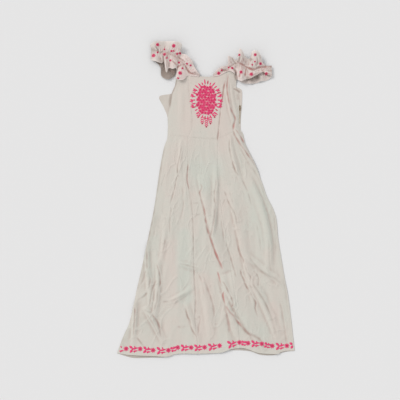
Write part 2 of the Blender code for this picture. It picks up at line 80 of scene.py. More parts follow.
PRINCESS_LEFT = [(-78, 289), (-77, 229), (-75, 194), (-70, 158), (-63, 123), (-60, 88), (-62, 44), (-79, 4)]
PRINCESS_RIGHT = [(97, 308), (90, 270), (82, 229), (76, 194), (70, 158), (64, 123), (60, 88), (55, 44),
                  (52, -3)]
SIDE_LEFT = [(-123, 308), (-126, 273), (-130, 246), (-141, 220), (-152, 194), (-158, 158), (-165, 123),
             (-169, 88), (-168, 53), (-169, 15)]
SIDE_RIGHT = [(136, 319), (136, 282), (134, 255), (132, 238), (134, 218), (141, 200), (145, 176), (146, 150),
              (145, 123), (144, 88), (142, 60), (151, 36)]
NECKLINE = [(-78, 289), (-66, 281), (-28, 271), (0, 268), (31, 271), (68, 292), (97, 308)]
STRAP_TOP_LEFT = [(-123, 308), (-105, 316), (-91, 315), (-78, 289)]
STRAP_TOP_RIGHT = [(97, 308), (116, 318), (136, 319)]
BACK_LEFT = [(-129, 266), (-134, 250), (-137, 228), (-143, 209), (-155, 194), (-206, 181), (-185, 132),
             (-169, 86), (-169, 15)]
BACK_RIGHT = [(129, 256), (131, 226), (156, 210), (158, 165), (156, 128), (152, 88), (152, 48), (151, 36)]
BACK_NECK = [(-129, 266), (-101, 259), (-70, 255), (-26, 251), (44, 251), (88, 255), (110, 261), (129, 256)]


class Fold(NamedTuple):
    """A ridge along a bent line that runs down the cloth, in drawing millimetres."""

    start: Point
    bend: Point
    end: Point
    height: float
    west: float
    east: float


class Crest(NamedTuple):
    """One crest or trough of a gathered strip: its gather and its two free edges."""

    gather: Point
    upper: Point
    upper_height: float
    lower: Point
    lower_height: float


class Crease(NamedTuple):
    """A sharp crease along a path of drawing points, with its share of painted shade and of pink painted
    shade.
    """

    path: tuple[Point, ...]
    depth: float
    width: float
    shade: float
    pink: float = 0.0


class Wave(NamedTuple):
    """Uneven waves of one size: their height and how far apart they lie, in millimetres."""

    height: float
    across: float
    down: float


class Tint(NamedTuple):
    """A soft-edged area about a path where the cloth is warmer (above 0) or cooler (below 0)."""

    path: tuple[Point, ...]
    reach: float
    warmth: float


# The largest folds of the bodice and the skirt
MAIN_FOLDS = [
    Fold((-32, -160), (16, -410), (84, -590), 11, 14, 46),
    Fold((52, -570), (86, -713), (128, -880), 8, 12, 34),
    Fold((70, -600), (118, -752), (262, -935), 16, 20, 95),
    Fold((44, -110), (50, -286), (22, -465), 6, 22, 16),
    Fold((99, -210), (140, -405), (214, -745), 8, 16, 40),
    Fold((172, -520), (240, -573), (345, -650), 6, 14, 26),
    Fold((161, -130), (301, -354), (279, -580), 9, 30, 18),
    Fold((196, -620), (251, -730), (322, -905), 8, 18, 34),
    Fold((-178, -340), (-186, -480), (-202, -560), 4, 16, 16),
    Fold((-260, -450), (-266, -568), (-243, -750), 8, 16, 22),
    Fold((-215, -520), (-205, -646), (-232, -810), 7, 14, 20),
    Fold((-275, -740), (-236, -803), (-184, -905), 9, 16, 24),
    Fold((-316, -700), (-315, -801), (-325, -930), 6, 14, 20),
    Fold((-130, -548), (-63, -572), (-20, -582), 4, 14, 16),
    Fold((-165, -728), (-108, -697), (-50, -650), 5, 14, 22),
    Fold((-92, -720), (-63, -803), (-30, -900), 6, 14, 18),
    Fold((-109, 0), (-121, -99), (-112, -190), 4, 12, 14),
    Fold((102, 20), (115, -83), (155, -200), 5, 12, 14),
    Fold((121, 60), (150, -40), (245, -180), 8, 14, 20),
    Fold((90, 262), (92, 150), (124, 60), 6, 12, 12),
    Fold((108, 250), (112, 170), (138, 90), 4, 14, 12),
    Fold((-108, 250), (-112, 150), (-108, 60), 2, 18, 18),
    Fold((92, -770), (116, -870), (140, -960), -5, 26, 22),
    Fold((-20, -620), (10, -760), (22, -900), 5, 26, 30),
]

# Creases of the bodice and skirt, where the cloth is seen to crease; those of no depth are only painted shade
CREASES = [
    Crease(((84, 255), (76, 206), (71, 165), (64, 123)), 1.6, 3.5, 0.52, 0.69),
    Crease(((64, 123), (59, 72), (53, 18), (50, -20)), 1.0, 3.5, 0.47, 0.26),
    Crease(((-77, 260), (-73, 175), (-62, 100), (-66, 40)), 0.5, 3, 0.12, 0.05),
    Crease(((98, 286), (92, 230), (93, 200), (98, 172), (106, 130)), 2.4, 4, 0.52, 0.69),
    Crease(((104, 140), (114, 114), (125, 92), (127, 78), (121, 55), (118, 32)), 2.8, 4.5, 0.6, 0.74),
    Crease(((118, 38), (129, 8), (147, -24), (166, -50), (230, -140)), 2.4, 4, 0.47, 0.37),
    Crease(((128, 40), (149, 10), (167, -24)), 2.2, 3.5, 0.47, 0.59),
    Crease(((120, 218), (131, 212), (144, 203)), 2.4, 4, 0.78, 0.05),
    Crease(((137, 196), (141, 180), (140, 165)), 0.8, 6, 0.32, 0.14),
    Crease(((-124, 285), (-127, 262), (-133, 243), (-143, 218), (-155, 192), (-162, 150),
            (-169, 95)), 0.5, 3.5, 0.58, 0.11),
    Crease(((-79, 4), (-20, -1), (35, -4), (52, -3)), 0.4, 4, 0.13),
    Crease(((-165, 14), (-126, 10), (-79, 4)), 0.3, 4, 0.1),
    Crease(((52, -2), (79, 8), (119, 27)), 0.3, 4, 0.1),
    Crease(((102, 4), (104, -50), (113, -100)), 1.8, 3.5, 0.31),
    Crease(((113, -95), (120, -119), (132, -152), (148, -169)), 1.8, 3.5, 0.39, 0.05),
    Crease(((-106, -30), (-113, -74), (-122, -111), (-125, -133), (-123, -165),
            (-112, -173)), 2.0, 3.5, 0.39),
    Crease(((-124, -160), (-132, -192), (-139, -228), (-160, -300)), 1.6, 3.5, 0.27, 0.05),
    Crease(((-78, -95), (-81, -138), (-83, -167), (-82, -195), (-73, -235)), 2.0, 3.5, 0.47, 0.4),
    Crease(((-73, -225), (-62, -300), (-57, -400), (-54, -540)), 1.2, 4, 0.27, 0.07),
    Crease(((-54, -540), (-49, -650), (-45, -728), (-48, -792)), 1.6, 4, 0.31, 0.09),
    Crease(((-48, -790), (-42, -798), (-30, -786), (-26, -800), (-34, -840),
            (-33, -900)), 1.2, 4, 0.23, 0.07),
    Crease(((-178, -158), (-188, -184), (-198, -214)), 1.0, 3.5, 0.27),
    Crease(((-190, -90), (-200, -160), (-212, -240)), 0.8, 4, 0.23, 0.05),
    Crease(((-25, -200), (-18, -220), (-28, -240), (-22, -267), (-13, -297)), 2.0, 4, 0.31, 0.23),
    Crease(((-15, -290), (-6, -326), (-3, -350), (4, -395), (15, -430)), 2.6, 4.5, 0.43, 0.43),
    Crease(((12, -425), (24, -455), (36, -490), (52, -530), (74, -580)), 3.2, 4.5, 0.47, 0.85),
    Crease(((39, -165), (44, -203), (37, -237), (38, -279), (44, -288), (40, -312)), 1.8, 4, 0.31, 0.05),
    Crease(((41, -305), (37, -346), (30, -384), (15, -450)), 1.8, 4, 0.31, 0.16),
    Crease(((78, -230), (86, -247), (93, -270), (108, -301), (123, -326), (132, -355),
            (146, -440)), 2.0, 4, 0.31),
    Crease(((104, -236), (110, -262), (122, -290)), 1.4, 3.5, 0.27),
    Crease(((85, -266), (78, -284), (69, -304)), 1.2, 3.5, 0.23),
    Crease(((-62, -287), (-48, -288), (-33, -286)), 1.0, 4, 0.16),
    Crease(((-60, -337), (-42, -339), (-23, -336)), 1.0, 4, 0.16),
    Crease(((137, -440), (142, -483), (151, -512), (162, -534), (165, -555)), 2.2, 4.5, 0.43, 0.16),
    Crease(((152, -575), (155, -600), (163, -618), (176, -651), (191, -673)), 2.2, 4, 0.43, 0.14),
    Crease(((187, -668), (205, -700), (218, -725), (216, -752), (230, -790)), 2.2, 4, 0.39, 0.14),
    Crease(((169, -548), (180, -588), (196, -611), (193, -646), (206, -662)), 1.8, 3.5, 0.27),
    Crease(((207, -615), (209, -644), (227, -673), (254, -714), (273, -752), (288, -792),
            (318, -900)), 2.4, 6, 0.35),
    Crease(((218, -588), (231, -620), (227, -658)), 1.5, 4, 0.23),
    Crease(((187, -515), (218, -561), (268, -602), (306, -620), (342, -652)), 2.0, 5, 0.31),
    Crease(((88, -455), (106, -521), (124, -583), (134, -618)), 1.8, 4.5, 0.31, 0.09),
    Crease(((70, -628), (84, -645), (97, -673), (113, -707), (117, -732), (104, -752)), 2.6, 4, 0.62, 0.18),
    Crease(((50, -585), (56, -608), (62, -632), (70, -655)), 2.0, 3.5, 0.31, 0.77),
    Crease(((78, -672), (74, -690), (78, -712), (86, -738)), 2.0, 3.5, 0.23, 0.85),
    Crease(((84, -735), (102, -761), (120, -781), (134, -802), (160, -836)), 3.0, 5.5, 0.51, 0.72),
    Crease(((150, -820), (185, -858), (225, -876), (247, -900), (256, -925)), 2.6, 7, 0.47, 0.16),
    Crease(((86, -745), (96, -800), (104, -870)), 1.2, 6, 0.16, 0.2),
    Crease(((276, -440), (279, -540), (286, -590)), 1.0, 4, 0.2),
    Crease(((300, -330), (304, -420), (309, -520)), 1.0, 4, 0.2),
    Crease(((150, -170), (180, -230), (202, -300)), 1.2, 4, 0.16),
    Crease(((200, -120), (240, -200), (266, -280)), 1.2, 4, 0.2),
    Crease(((-261, -490), (-259, -530), (-259, -580)), 2.0, 5, 0.47, 0.11),
    Crease(((-262, -580), (-272, -605), (-286, -640), (-305, -674)), 1.6, 5, 0.47),
    Crease(((-255, -583), (-245, -622), (-252, -664)), 1.6, 4, 0.31, 0.09),
    Crease(((-218, -552), (-205, -591), (-201, -634), (-207, -662)), 2.2, 4, 0.39, 0.16),
    Crease(((-216, -622), (-236, -665), (-245, -720), (-250, -742)), 2.0, 4, 0.35, 0.07),
    Crease(((-211, -668), (-216, -720), (-228, -760)), 1.5, 4, 0.27, 0.07),
    Crease(((-274, -752), (-258, -764), (-240, -766)), 2.2, 4, 0.39),
    Crease(((-266, -768), (-230, -819), (-204, -878)), 2.0, 4, 0.31, 0.14),
    Crease(((-244, -768), (-212, -813), (-196, -884)), 2.4, 5, 0.39, 0.14),
    Crease(((-312, -734), (-314, -798), (-320, -874)), 2.2, 3.5, 0.47, 0.23),
    Crease(((-303, -878), (-288, -898), (-272, -916)), 1.5, 4, 0.31, 0.07),
    Crease(((-303, -716), (-278, -700), (-254, -676)), 1.4, 4, 0.23),
    Crease(((-117, -553), (-70, -563), (-28, -576)), 1.8, 4, 0.35),
    Crease(((-195, -721), (-160, -718), (-125, -705), (-84, -680)), 1.6, 4.5, 0.27),
    Crease(((-92, -730), (-82, -782), (-70, -804), (-64, -835), (-42, -875),
            (-38, -898)), 2.0, 4, 0.35, 0.05),
    Crease(((-178, -440), (-184, -480), (-194, -512)), 1.5, 4, 0.27, 0.11),
    Crease(((-130, -830), (-106, -832), (-82, -826)), 1.0, 5, 0.16, 0.09),
    Crease(((-10, -610), (6, -660), (30, -730), (36, -790)), 1.4, 5, 0.23, 0.11),
    Crease(((-36, -590), (-16, -640), (-6, -700)), 1.2, 4, 0.2, 0.09),
    Crease(((340, -620), (352, -700), (360, -780)), 1.2, 5, 0.2),
    Crease(((320, -700), (336, -780), (348, -860), (356, -910)), 1.4, 5, 0.2, 0.09),
    Crease(((-150, -300), (-160, -370), (-158, -430)), 1.2, 4, 0.2, 0.05),
    Crease(((-105, -210), (-100, -290), (-112, -360)), 1.2, 5, 0.16, 0.07),
    Crease(((-215, -330), (-226, -400), (-240, -470)), 1.2, 5, 0.23),
    Crease(((220, -370), (236, -440), (240, -500)), 1.2, 5, 0.16),
    Crease(((-180, -35), (-191, -84), (-201, -141), (-226, -309), (-246, -410), (-279, -567)), 0, 5, 0.5),
    Crease(((-215, -300), (-262, -500), (-296, -680)), 0, 26, 0.2),
    Crease(((121, 218), (134, 211), (152, 198)), 0.4, 5, 1, 0.25),
    Crease(((119, 299), (131, 286), (127, 270), (134, 248)), 0.4, 4, 1, 0.1),
    Crease(((-128, 246), (-139, 220), (-150, 194), (-156, 158), (-163, 123)), 0, 3.5, 0.8, 0.1),
    Crease(((-300, -700), (-290, -780), (-262, -850)), 0, 26, 0.12),
    Crease(((-350, -830), (-362, -880), (-372, -930)), 0, 22, 0.25),
    Crease(((60, -330), (72, -400), (78, -460)), 1.4, 4.5, 0.23, 0.07),
]

# Creases of the two front ruffles, with their painted shade, and the painted shade of the right armhole's gap
RUFFLE_CREASES = [
    Crease(((-240, 400), (-232, 372), (-226, 340)), 0, 15, 0.34),
    Crease(((-214, 352), (-204, 338), (-190, 334)), 0, 9, 0.3),
    Crease(((236, 312), (266, 316), (300, 313)), 0.5, 8, 0.6, 0.25),
    Crease(((236, 302), (266, 297), (300, 294)), 0.5, 6, 0.45, 0.3),
    Crease(((246, 283), (270, 280), (300, 277)), 0.4, 5, 0.4, 0.35),
    Crease(((172, 256), (205, 261), (240, 272)), 0, 15, 0.6),
    Crease(((119, 297), (131, 285), (127, 270), (137, 254)), 0.6, 3.5, 1, 0.1),
    Crease(((-224, 403), (-211, 385), (-208, 372)), 2.6, 4, 0.52),
    Crease(((-209, 371), (-198, 374), (-184, 382)), 1.6, 4, 0.21),
    Crease(((-188, 360), (-187, 345), (-186, 327)), 3.0, 4, 0.63, 0.07),
    Crease(((-168, 362), (-174, 348), (-171, 328), (-174, 296)), 3.0, 4, 0.63, 0.24),
    Crease(((-152, 338), (-140, 329), (-127, 315)), 2.2, 3.5, 0.45, 0.35),
    Crease(((-128, 356), (-112, 346), (-92, 332)), 2.2, 3.5, 0.42, 0.35),
    Crease(((-129, 306), (-117, 316), (-103, 320), (-92, 321)), 2.6, 4, 0.52, 0.66),
    Crease(((-92, 320), (-83, 301), (-70, 285), (-48, 280)), 2.6, 4, 0.59, 0.57),
    Crease(((-144, 368), (-125, 367), (-108, 375)), 2.0, 3.5, 0.32, 0.57),
    Crease(((-161, 332), (-162, 308)), 1.6, 3, 0.35),
    Crease(((-56, 288), (-42, 281), (-29, 275)), 1.0, 5, 0.39, 0.07),
    Crease(((-201, 352), (-196, 334)), 1.6, 4, 0.42, 0.14),
    Crease(((-243, 396), (-238, 372), (-240, 345)), 1.2, 10, 0.28),
    Crease(((-226, 380), (-222, 350)), 1.2, 9, 0.24),
    Crease(((-150, 300), (-140, 292), (-131, 300)), 2.0, 4, 0.63, 0.14),
    Crease(((137, 331), (158, 322), (175, 312), (192, 303), (211, 297)), 3.0, 4, 0.63, 0.66),
    Crease(((216, 300), (225, 308), (252, 310), (270, 314)), 2.0, 4, 0.42, 0.71),
    Crease(((175, 313), (175, 297), (171, 266)), 2.6, 4, 0.52, 0.71),
    Crease(((64, 304), (81, 295), (105, 299)), 2.0, 4, 0.42, 0.35),
    Crease(((98, 318), (112, 308), (121, 300), (134, 284)), 2.6, 4, 0.56, 0.28),
    Crease(((114, 350), (125, 331), (134, 322)), 2.2, 3.5, 0.49, 0.07),
    Crease(((149, 358), (144, 337), (138, 330)), 2.6, 4.5, 0.52),
    Crease(((197, 368), (193, 349), (202, 336)), 2.6, 6, 0.52),
    Crease(((221, 356), (225, 331), (216, 309)), 2.2, 4, 0.42),
    Crease(((235, 362), (238, 345)), 1.5, 4, 0.35),
    Crease(((162, 350), (167, 335), (186, 322)), 1.6, 3.5, 0.35, 0.28),
    Crease(((152, 286), (143, 263)), 1.6, 5, 0.24, 0.52),
    Crease(((186, 280), (196, 266)), 1.4, 4, 0.21, 0.21),
    Crease(((243, 296), (256, 288)), 1.6, 3.5, 0.52, 0.57),
    Crease(((254, 279), (270, 277), (287, 274)), 1.4, 4, 0.28, 0.28),
    Crease(((252, 309), (270, 310), (288, 309)), 0.6, 9, 0.17, 0.32),
    Crease(((129, 290), (133, 268), (136, 252)), 3.0, 5, 0.7, 0.14),
    Crease(((190, 262), (205, 272), (222, 281), (245, 285)), 1.5, 4, 0.24, 0.14),
]

# Warmer and cooler areas of the cloth
TINTS = [
    Tint(((-10, 250), (0, 20)), 175, 1.0),
    Tint(((-15, -15), (0, -170)), 95, -0.9),
    Tint(((-96, -430), (-96, -700)), 48, -0.8),
    Tint(((-60, -250), (-52, -420)), 26, 0.4),
    Tint(((-165, -470), (-160, -720)), 52, 0.55),
    Tint(((-205, -200), (-290, -600)), 36, -0.3),
    Tint(((-225, -450), (-242, -600)), 32, -0.5),
    Tint(((-18, -640), (0, -900)), 66, 0.65),
    Tint(((150, -480), (195, -700)), 60, 0.3),
    Tint(((220, -250), (262, -430)), 75, -0.65),
    Tint(((150, -800), (250, -850)), 50, -0.4),
    Tint(((296, -740), (322, -900)), 34, 0.65),
    Tint(((-140, -60), (-165, -230)), 55, 0.35),
    Tint(((60, -210), (120, -400)), 55, 0.4),
    Tint(((-150, -830), (-160, -930)), 70, 0.35),
    Tint(((-330, -830), (-370, -930)), 40, -0.2),
    Tint(((-230, 410), (-120, 405)), 30, -0.6),
    Tint(((120, 340), (240, 350)), 40, -0.2),
]

# Crests and valleys of the four ruffle halves, from the outer end to the inner end
FRONT_RUFFLE_LEFT = [
    Crest((-240, 385), (-246, 407), 10.9, (-243, 341), 10.9),
    Crest((-220, 381), (-229, 419), 26, (-222, 334), 24),
    Crest((-200, 377), (-200, 423), 18, (-196, 327), 14),
    Crest((-184, 373), (-176, 423), 15, (-185, 332), 11),
    Crest((-174, 370), (-156, 422), 24, (-175, 286), 22),
    Crest((-163, 367), (-136, 420), 30, (-163, 306), 13),
    Crest((-145, 361), (-116, 417), 30, (-148, 300), 26),
    Crest((-130, 352), (-106, 405), 26, (-132, 304), 22),
    Crest((-117, 341), (-109, 372), 12, (-130, 290), 12),
    Crest((-103, 328), (-86, 362), 24, (-131, 258), 24),
    Crest((-92, 316), (-62, 337), 22, (-101, 253), 18),
    Crest((-81, 297), (-55, 319), 14, (-81, 273), 11),
    Crest((-64, 282), (-43, 297), 16, (-64, 271), 11),
    Crest((-29, 273), (-27, 278), 11, (-29, 268), 10.9),
]
FRONT_RUFFLE_RIGHT = [
    Crest((287, 301), (288, 317), 10.9, (290, 271), 10.9),
    Crest((262, 306), (262, 317), 13, (266, 277), 18),
    Crest((242, 308), (246, 332), 18, (251, 288), 15),
    Crest((224, 302), (238, 361), 28, (235, 283), 14),
    Crest((208, 297), (218, 380), 36, (216, 271), 20),
    Crest((194, 302), (200, 374), 30, (196, 260), 24),
    Crest((180, 309), (191, 348), 11, (182, 257), 13),
    Crest((167, 316), (172, 355), 18, (169, 254), 17),
    Crest((154, 323), (156, 381), 34, (154, 247), 25),
    Crest((141, 328), (144, 386), 32, (136, 255), 20),
    Crest((130, 328), (135, 341), 11, (131, 266), 11),
    Crest((119, 321), (117, 351), 16, (128, 277), 18),
    Crest((108, 312), (95, 356), 26, (117, 286), 22),
    Crest((95, 306), (95, 320), 13, (101, 293), 12),
    Crest((75, 295), (68, 312), 20, (79, 284), 12),
    Crest((53, 282), (44, 295), 16, (57, 273), 11),
    Crest((31, 273), (30, 277), 11, (31, 268), 10.9),
]
BACK_RUFFLE_LEFT = [
    Crest((-239, 380), (-245, 406), 9.3, (-242.5, 342), 9.3),
    Crest((-216, 356), (-211, 403), 4, (-222, 334), 2),
    Crest((-194, 334), (-180, 387), 8, (-200, 308), 8),
    Crest((-174, 312), (-154, 365), 3, (-196, 271), 3),
    Crest((-154, 293), (-136, 334), 8, (-167, 257), 9),
    Crest((-136, 277), (-131, 299), 4, (-140, 271), 3),
]
BACK_RUFFLE_RIGHT = [
    Crest((285, 290), (285, 313), 9.2, (288, 268), 9.2),
    Crest((260, 284), (260, 315), 3, (268, 253), 2),
    Crest((238, 279), (238, 319), 8, (242, 249), 8),
    Crest((216, 277), (216, 317), 3, (218, 240), 2),
    Crest((194, 277), (194, 317), 8, (194, 238), 8),
    Crest((172, 282), (172, 319), 3, (167, 240), 3),
    Crest((156, 287), (156, 320), 8, (146, 249), 8),
    Crest((142, 293), (142, 318), 4, (140, 262), 3),
]

# Embroidered dots of the ruffles, by their places on the drawing, with their widths
DOTS_LEFT = [((-213, 411), 13), ((-142, 405), 15), ((-231, 364), 15), ((-183, 370), 12), ((-213, 378), 8),
             ((-183, 392), 7), ((-152, 383), 9), ((-143, 384), 7), ((-114, 374), 10), ((-127, 371), 9),
             ((-172, 354), 8), ((-157, 343), 9), ((-119, 334), 9), ((-84, 328), 8), ((-68, 321), 8),
             ((-104, 308), 8), ((-114, 287), 15), ((-124, 262), 11)]
DOTS_RIGHT = [((55, 287), 13), ((99, 312), 8), ((114, 309), 10), ((145, 365), 9), ((214, 365), 12),
              ((238, 328), 11), ((213, 336), 7), ((202, 323), 7), ((153, 291), 13), ((198, 282), 14),
              ((264, 285), 11), ((68, 300), 8)]

# Middle of the zip's tape, downwards
ZIP_LINE = [(148.8, 143), (148.8, 123), (148.0, 88), (147.4, 64)]


class Side(Enum):
    """The two sleeves, by the side of the photo they lie on."""

    LEFT = "left"
    RIGHT = "right"


class Layer(Enum):
    """The two halves of a ruffle: the one on the floor and the one on it."""

    BACK = "back"
    FRONT = "front"


def to_world(x: float, y: float, z: float = 0.0) -> tuple[float, float, float]:
    """Turns a drawing point with its height in millimetres into world metres."""
    return ((x - DRAWING_CENTRE[0]) * MM, (y - DRAWING_CENTRE[1]) * MM, z * MM)


def smooth_step(value: np.ndarray | float) -> np.ndarray | float:
    """Eases from 0 to 1 as the value goes from 0 to 1."""
    t = np.clip(value, 0, 1)
    return t * t * (3 - 2 * t)


def spline(rows: np.ndarray, steps: int) -> np.ndarray:
    """Adds smooth rows between the rows of a table.

    Args:
        rows: The table, a row for each section.
        steps: How many rows replace each interval.

    Returns:
        The finer table, from the first row to the last.
    """
    ends = np.vstack([2 * rows[0] - rows[1], rows, 2 * rows[-1] - rows[-2]])
    t = np.linspace(0, 1, steps, endpoint=False)[:, None]
    result = []
    for i in range(len(rows) - 1):
        a, b, c, d = ends[i:i + 4]
        result.append(0.5 * (2 * b + (c - a) * t + (2 * a - 5 * b + 4 * c - d) * t ** 2
                             + (3 * b - a - 3 * c + d) * t ** 3))
    return np.vstack([*result, rows[-1:]])


def curve_at(points: Sequence[Sequence[float]], shares: np.ndarray) -> np.ndarray:
    """Reads a smooth curve through the points at shares of its length, from 0 to 1.

    Args:
        points: The curve's points in order.
        shares: Shares of its length.

    Returns:
        The places, a row for each share.
    """
    fine = spline(np.array(points, dtype=float), steps=12)
    reach = np.concatenate([[0], np.cumsum(np.linalg.norm(np.diff(fine, axis=0), axis=1))])
    wanted = shares * reach[-1]
    return np.column_stack([np.interp(wanted, reach, fine[:, k]) for k in range(fine.shape[1])])


def stretch_between(points: list[Point], first: Point, last: Point) -> list[Point]:
    """Gives the part of a seam that runs between two of its points, both included."""
    return points[points.index(first):points.index(last) + 1]


def moved(points: Iterable[Point], dx: float, dy: float) -> list[Point]:
    """Moves a list of drawing points."""
    return [(x + dx, y + dy) for x, y in points]


def edge_at(edge: list[Point], y: np.ndarray) -> np.ndarray:
    """Place of a side edge at the drawing height y."""
    rows = sorted((point[1], point[0]) for point in edge)
    return np.interp(y, [row[0] for row in rows], [row[1] for row in rows])


class Noise:
    """Smooth seeded noise over a plane, between about -1 and 1."""

    SIZE = 128

    def __init__(self, seed: int) -> None:
        """Draws the noise's lattice of directions."""
        turns = np.random.default_rng(seed).uniform(0, 2 * math.pi, (self.SIZE, self.SIZE))
        self.gradient_x, self.gradient_y = np.cos(turns), np.sin(turns)

    def __call__(self, u: np.ndarray, v: np.ndarray) -> np.ndarray:
        """Gives the noise at lattice coordinates u, v.

        Args:
            u: The first coordinate.
            v: The second coordinate.

        Returns:
            The noise at each point.
        """
        u, v = np.broadcast_arrays(u, v)
        column, row = np.floor(u).astype(int), np.floor(v).astype(int)
        across, down = u - column, v - row
        ease_x = across ** 3 * (across * (across * 6 - 15) + 10)
        ease_y = down ** 3 * (down * (down * 6 - 15) + 10)
        total = np.zeros_like(across)
        for i in (0, 1):
            for j in (0, 1):
                at = ((row + j) % self.SIZE, (column + i) % self.SIZE)
                slope = self.gradient_x[at] * (across - i) + self.gradient_y[at] * (down - j)
                weight = (ease_x if i else 1 - ease_x) * (ease_y if j else 1 - ease_y)
                total += weight * slope
        return total * 1.5


def bend_path(start: Point, bend: Point, end: Point) -> np.ndarray:
    """Samples the curve from start to end that bends towards a point."""
    t = np.linspace(0, 1, 14)[:, None]
    return (1 - t) ** 2 * np.array(start) + 2 * t * (1 - t) * np.array(bend) + t ** 2 * np.array(end)


def path_offsets(path: np.ndarray, x: np.ndarray, y: np.ndarray) -> tuple[np.ndarray, np.ndarray]:
    """Measures points against a path.

    Args:
        path: The path's points in order.
        x: The points' places across.
        y: The points' places up.

    Returns:
        The signed distance, east of a path that runs down being positive, and the share of
        the path at the nearest place.
    """
    nearest = np.full(x.shape, np.inf)
    signed = np.zeros(x.shape)
    along = np.zeros(x.shape)
    for i in range(len(path) - 1):
        a, step = path[i], path[i + 1] - path[i]
        s = np.clip(((x - a[0]) * step[0] + (y - a[1]) * step[1]) / (step @ step), 0, 1)
        off_x, off_y = x - a[0] - s * step[0], y - a[1] - s * step[1]
        distance = np.hypot(off_x, off_y)
        closer = distance < nearest
        nearest = np.where(closer, distance, nearest)
        signed = np.where(closer, distance * np.sign(step[0] * off_y - step[1] * off_x), signed)
        along = np.where(closer, (i + s) / (len(path) - 1), along)
    return signed, along


def near_path(path: np.ndarray, reach: float, x: np.ndarray, y: np.ndarray) -> np.ndarray:
    """Marks the points of the path's surroundings, so that only they are worked out."""
    low, high = path.min(axis=0) - reach, path.max(axis=0) + reach
    return (x > low[0]) & (x < high[0]) & (y > low[1]) & (y < high[1])


def fold_rise(folds: Iterable[Fold], x: np.ndarray, y: np.ndarray) -> np.ndarray:
    """Sums the heights that the folds add at drawing points x, y.

    Args:
        folds: The folds.
        x: The points' places across, in drawing millimetres.
        y: Their places up.

    Returns:
        The rise in millimetres.
    """
    total = np.zeros(x.shape)
    for fold in folds:
        path = bend_path(fold.start, fold.bend, fold.end)
        near = near_path(path, max(fold.west, fold.east), x, y)
        signed, along = path_offsets(path, x[near], y[near])
        width = np.where(signed > 0, fold.east, fold.west)
        profile = np.clip(1 - (signed / width) ** 2, 0, None) ** 2
        total[near] += fold.height * profile * np.clip(4 * along * (1 - along), 0, 1) ** 0.75
    return total


# How a crease varies along its path: the seed and the size of its patches
CREASE_SEED = 29
CREASE_PATCH = (23.0, 31.0)

# A crease's section, in shares of its width: a groove between a high and a low ridge
GROOVE_STEEPNESS = 1.3
RIDGE_PLACE = 1.7
HIGH_RIDGE = 0.75
LOW_RIDGE = 0.35
# Where the painted shade lies across the groove, and how much narrower the pink painted shade is
SHADE_PLACE = -0.15
PINK_NARROWING = 1.15


def crease_effects(creases: Iterable[Crease], x: np.ndarray,
                   y: np.ndarray) -> tuple[np.ndarray, np.ndarray, np.ndarray]:
    """Works out what creases do to the cloth at drawing points x, y.

    Args:
        creases: The creases.
        x: The points' places across.
        y: The points' places up.

    Returns:
        The rise in millimetres, the share of painted shade and the share of pink painted shade.
    """
    rise, shade, pink = np.zeros(x.shape), np.zeros(x.shape), np.zeros(x.shape)
    patches = Noise(CREASE_SEED)
    for crease in creases:
        path = spline(np.array(crease.path, dtype=float), steps=4)
        near = near_path(path, 4 * crease.width, x, y)
        if not near.any():
            continue
        signed, along = path_offsets(path, x[near], y[near])
        uneven = patches(x[near] / CREASE_PATCH[0] + crease.width, y[near] / CREASE_PATCH[1])
        taper = np.clip(7 * along * (1 - along), 0, 1)
        strength = taper * np.clip(0.8 + 0.75 * uneven, 0.15, 1.25)
        off = signed / (crease.width * np.clip(0.9 + 0.35 * uneven, 0.6, 1.3))
        groove = -np.exp(-np.abs(off) * GROOVE_STEEPNESS)
        ridges = (HIGH_RIDGE * np.exp(-(off - RIDGE_PLACE) ** 2)
                  + LOW_RIDGE * np.exp(-(off + RIDGE_PLACE) ** 2))
        rise[near] += crease.depth * strength * (groove + ridges)
        # Painted shade along the groove, and pink painted shade along its middle
        dark = strength * np.exp(-(off - SHADE_PLACE) ** 2)
        shade[near] = np.maximum(shade[near], crease.shade * dark)
        pink_shade = strength * np.exp(-(off * PINK_NARROWING) ** 2)
        pink[near] = np.maximum(pink[near], crease.pink * pink_shade)
    return rise, shade, pink


def warmth_at(x: np.ndarray, y: np.ndarray) -> np.ndarray:
    """Warmth of the cloth at drawing points x, y, from 0 for cool to 1 for warm.

    Args:
        x: The points' places across, in drawing millimetres.
        y: Their places up.

    Returns:
        The warmth of each point.
    """
    total = np.full(x.shape, 0.5)
    for tint in TINTS:
        path = np.array(tint.path, dtype=float)
        near = near_path(path, tint.reach, x, y)
        signed, _ = path_offsets(path, x[near], y[near])
        total[near] += 0.5 * tint.warmth * smooth_step(1.5 * (1 - np.abs(signed) / tint.reach))
    return np.clip(total, 0, 1)


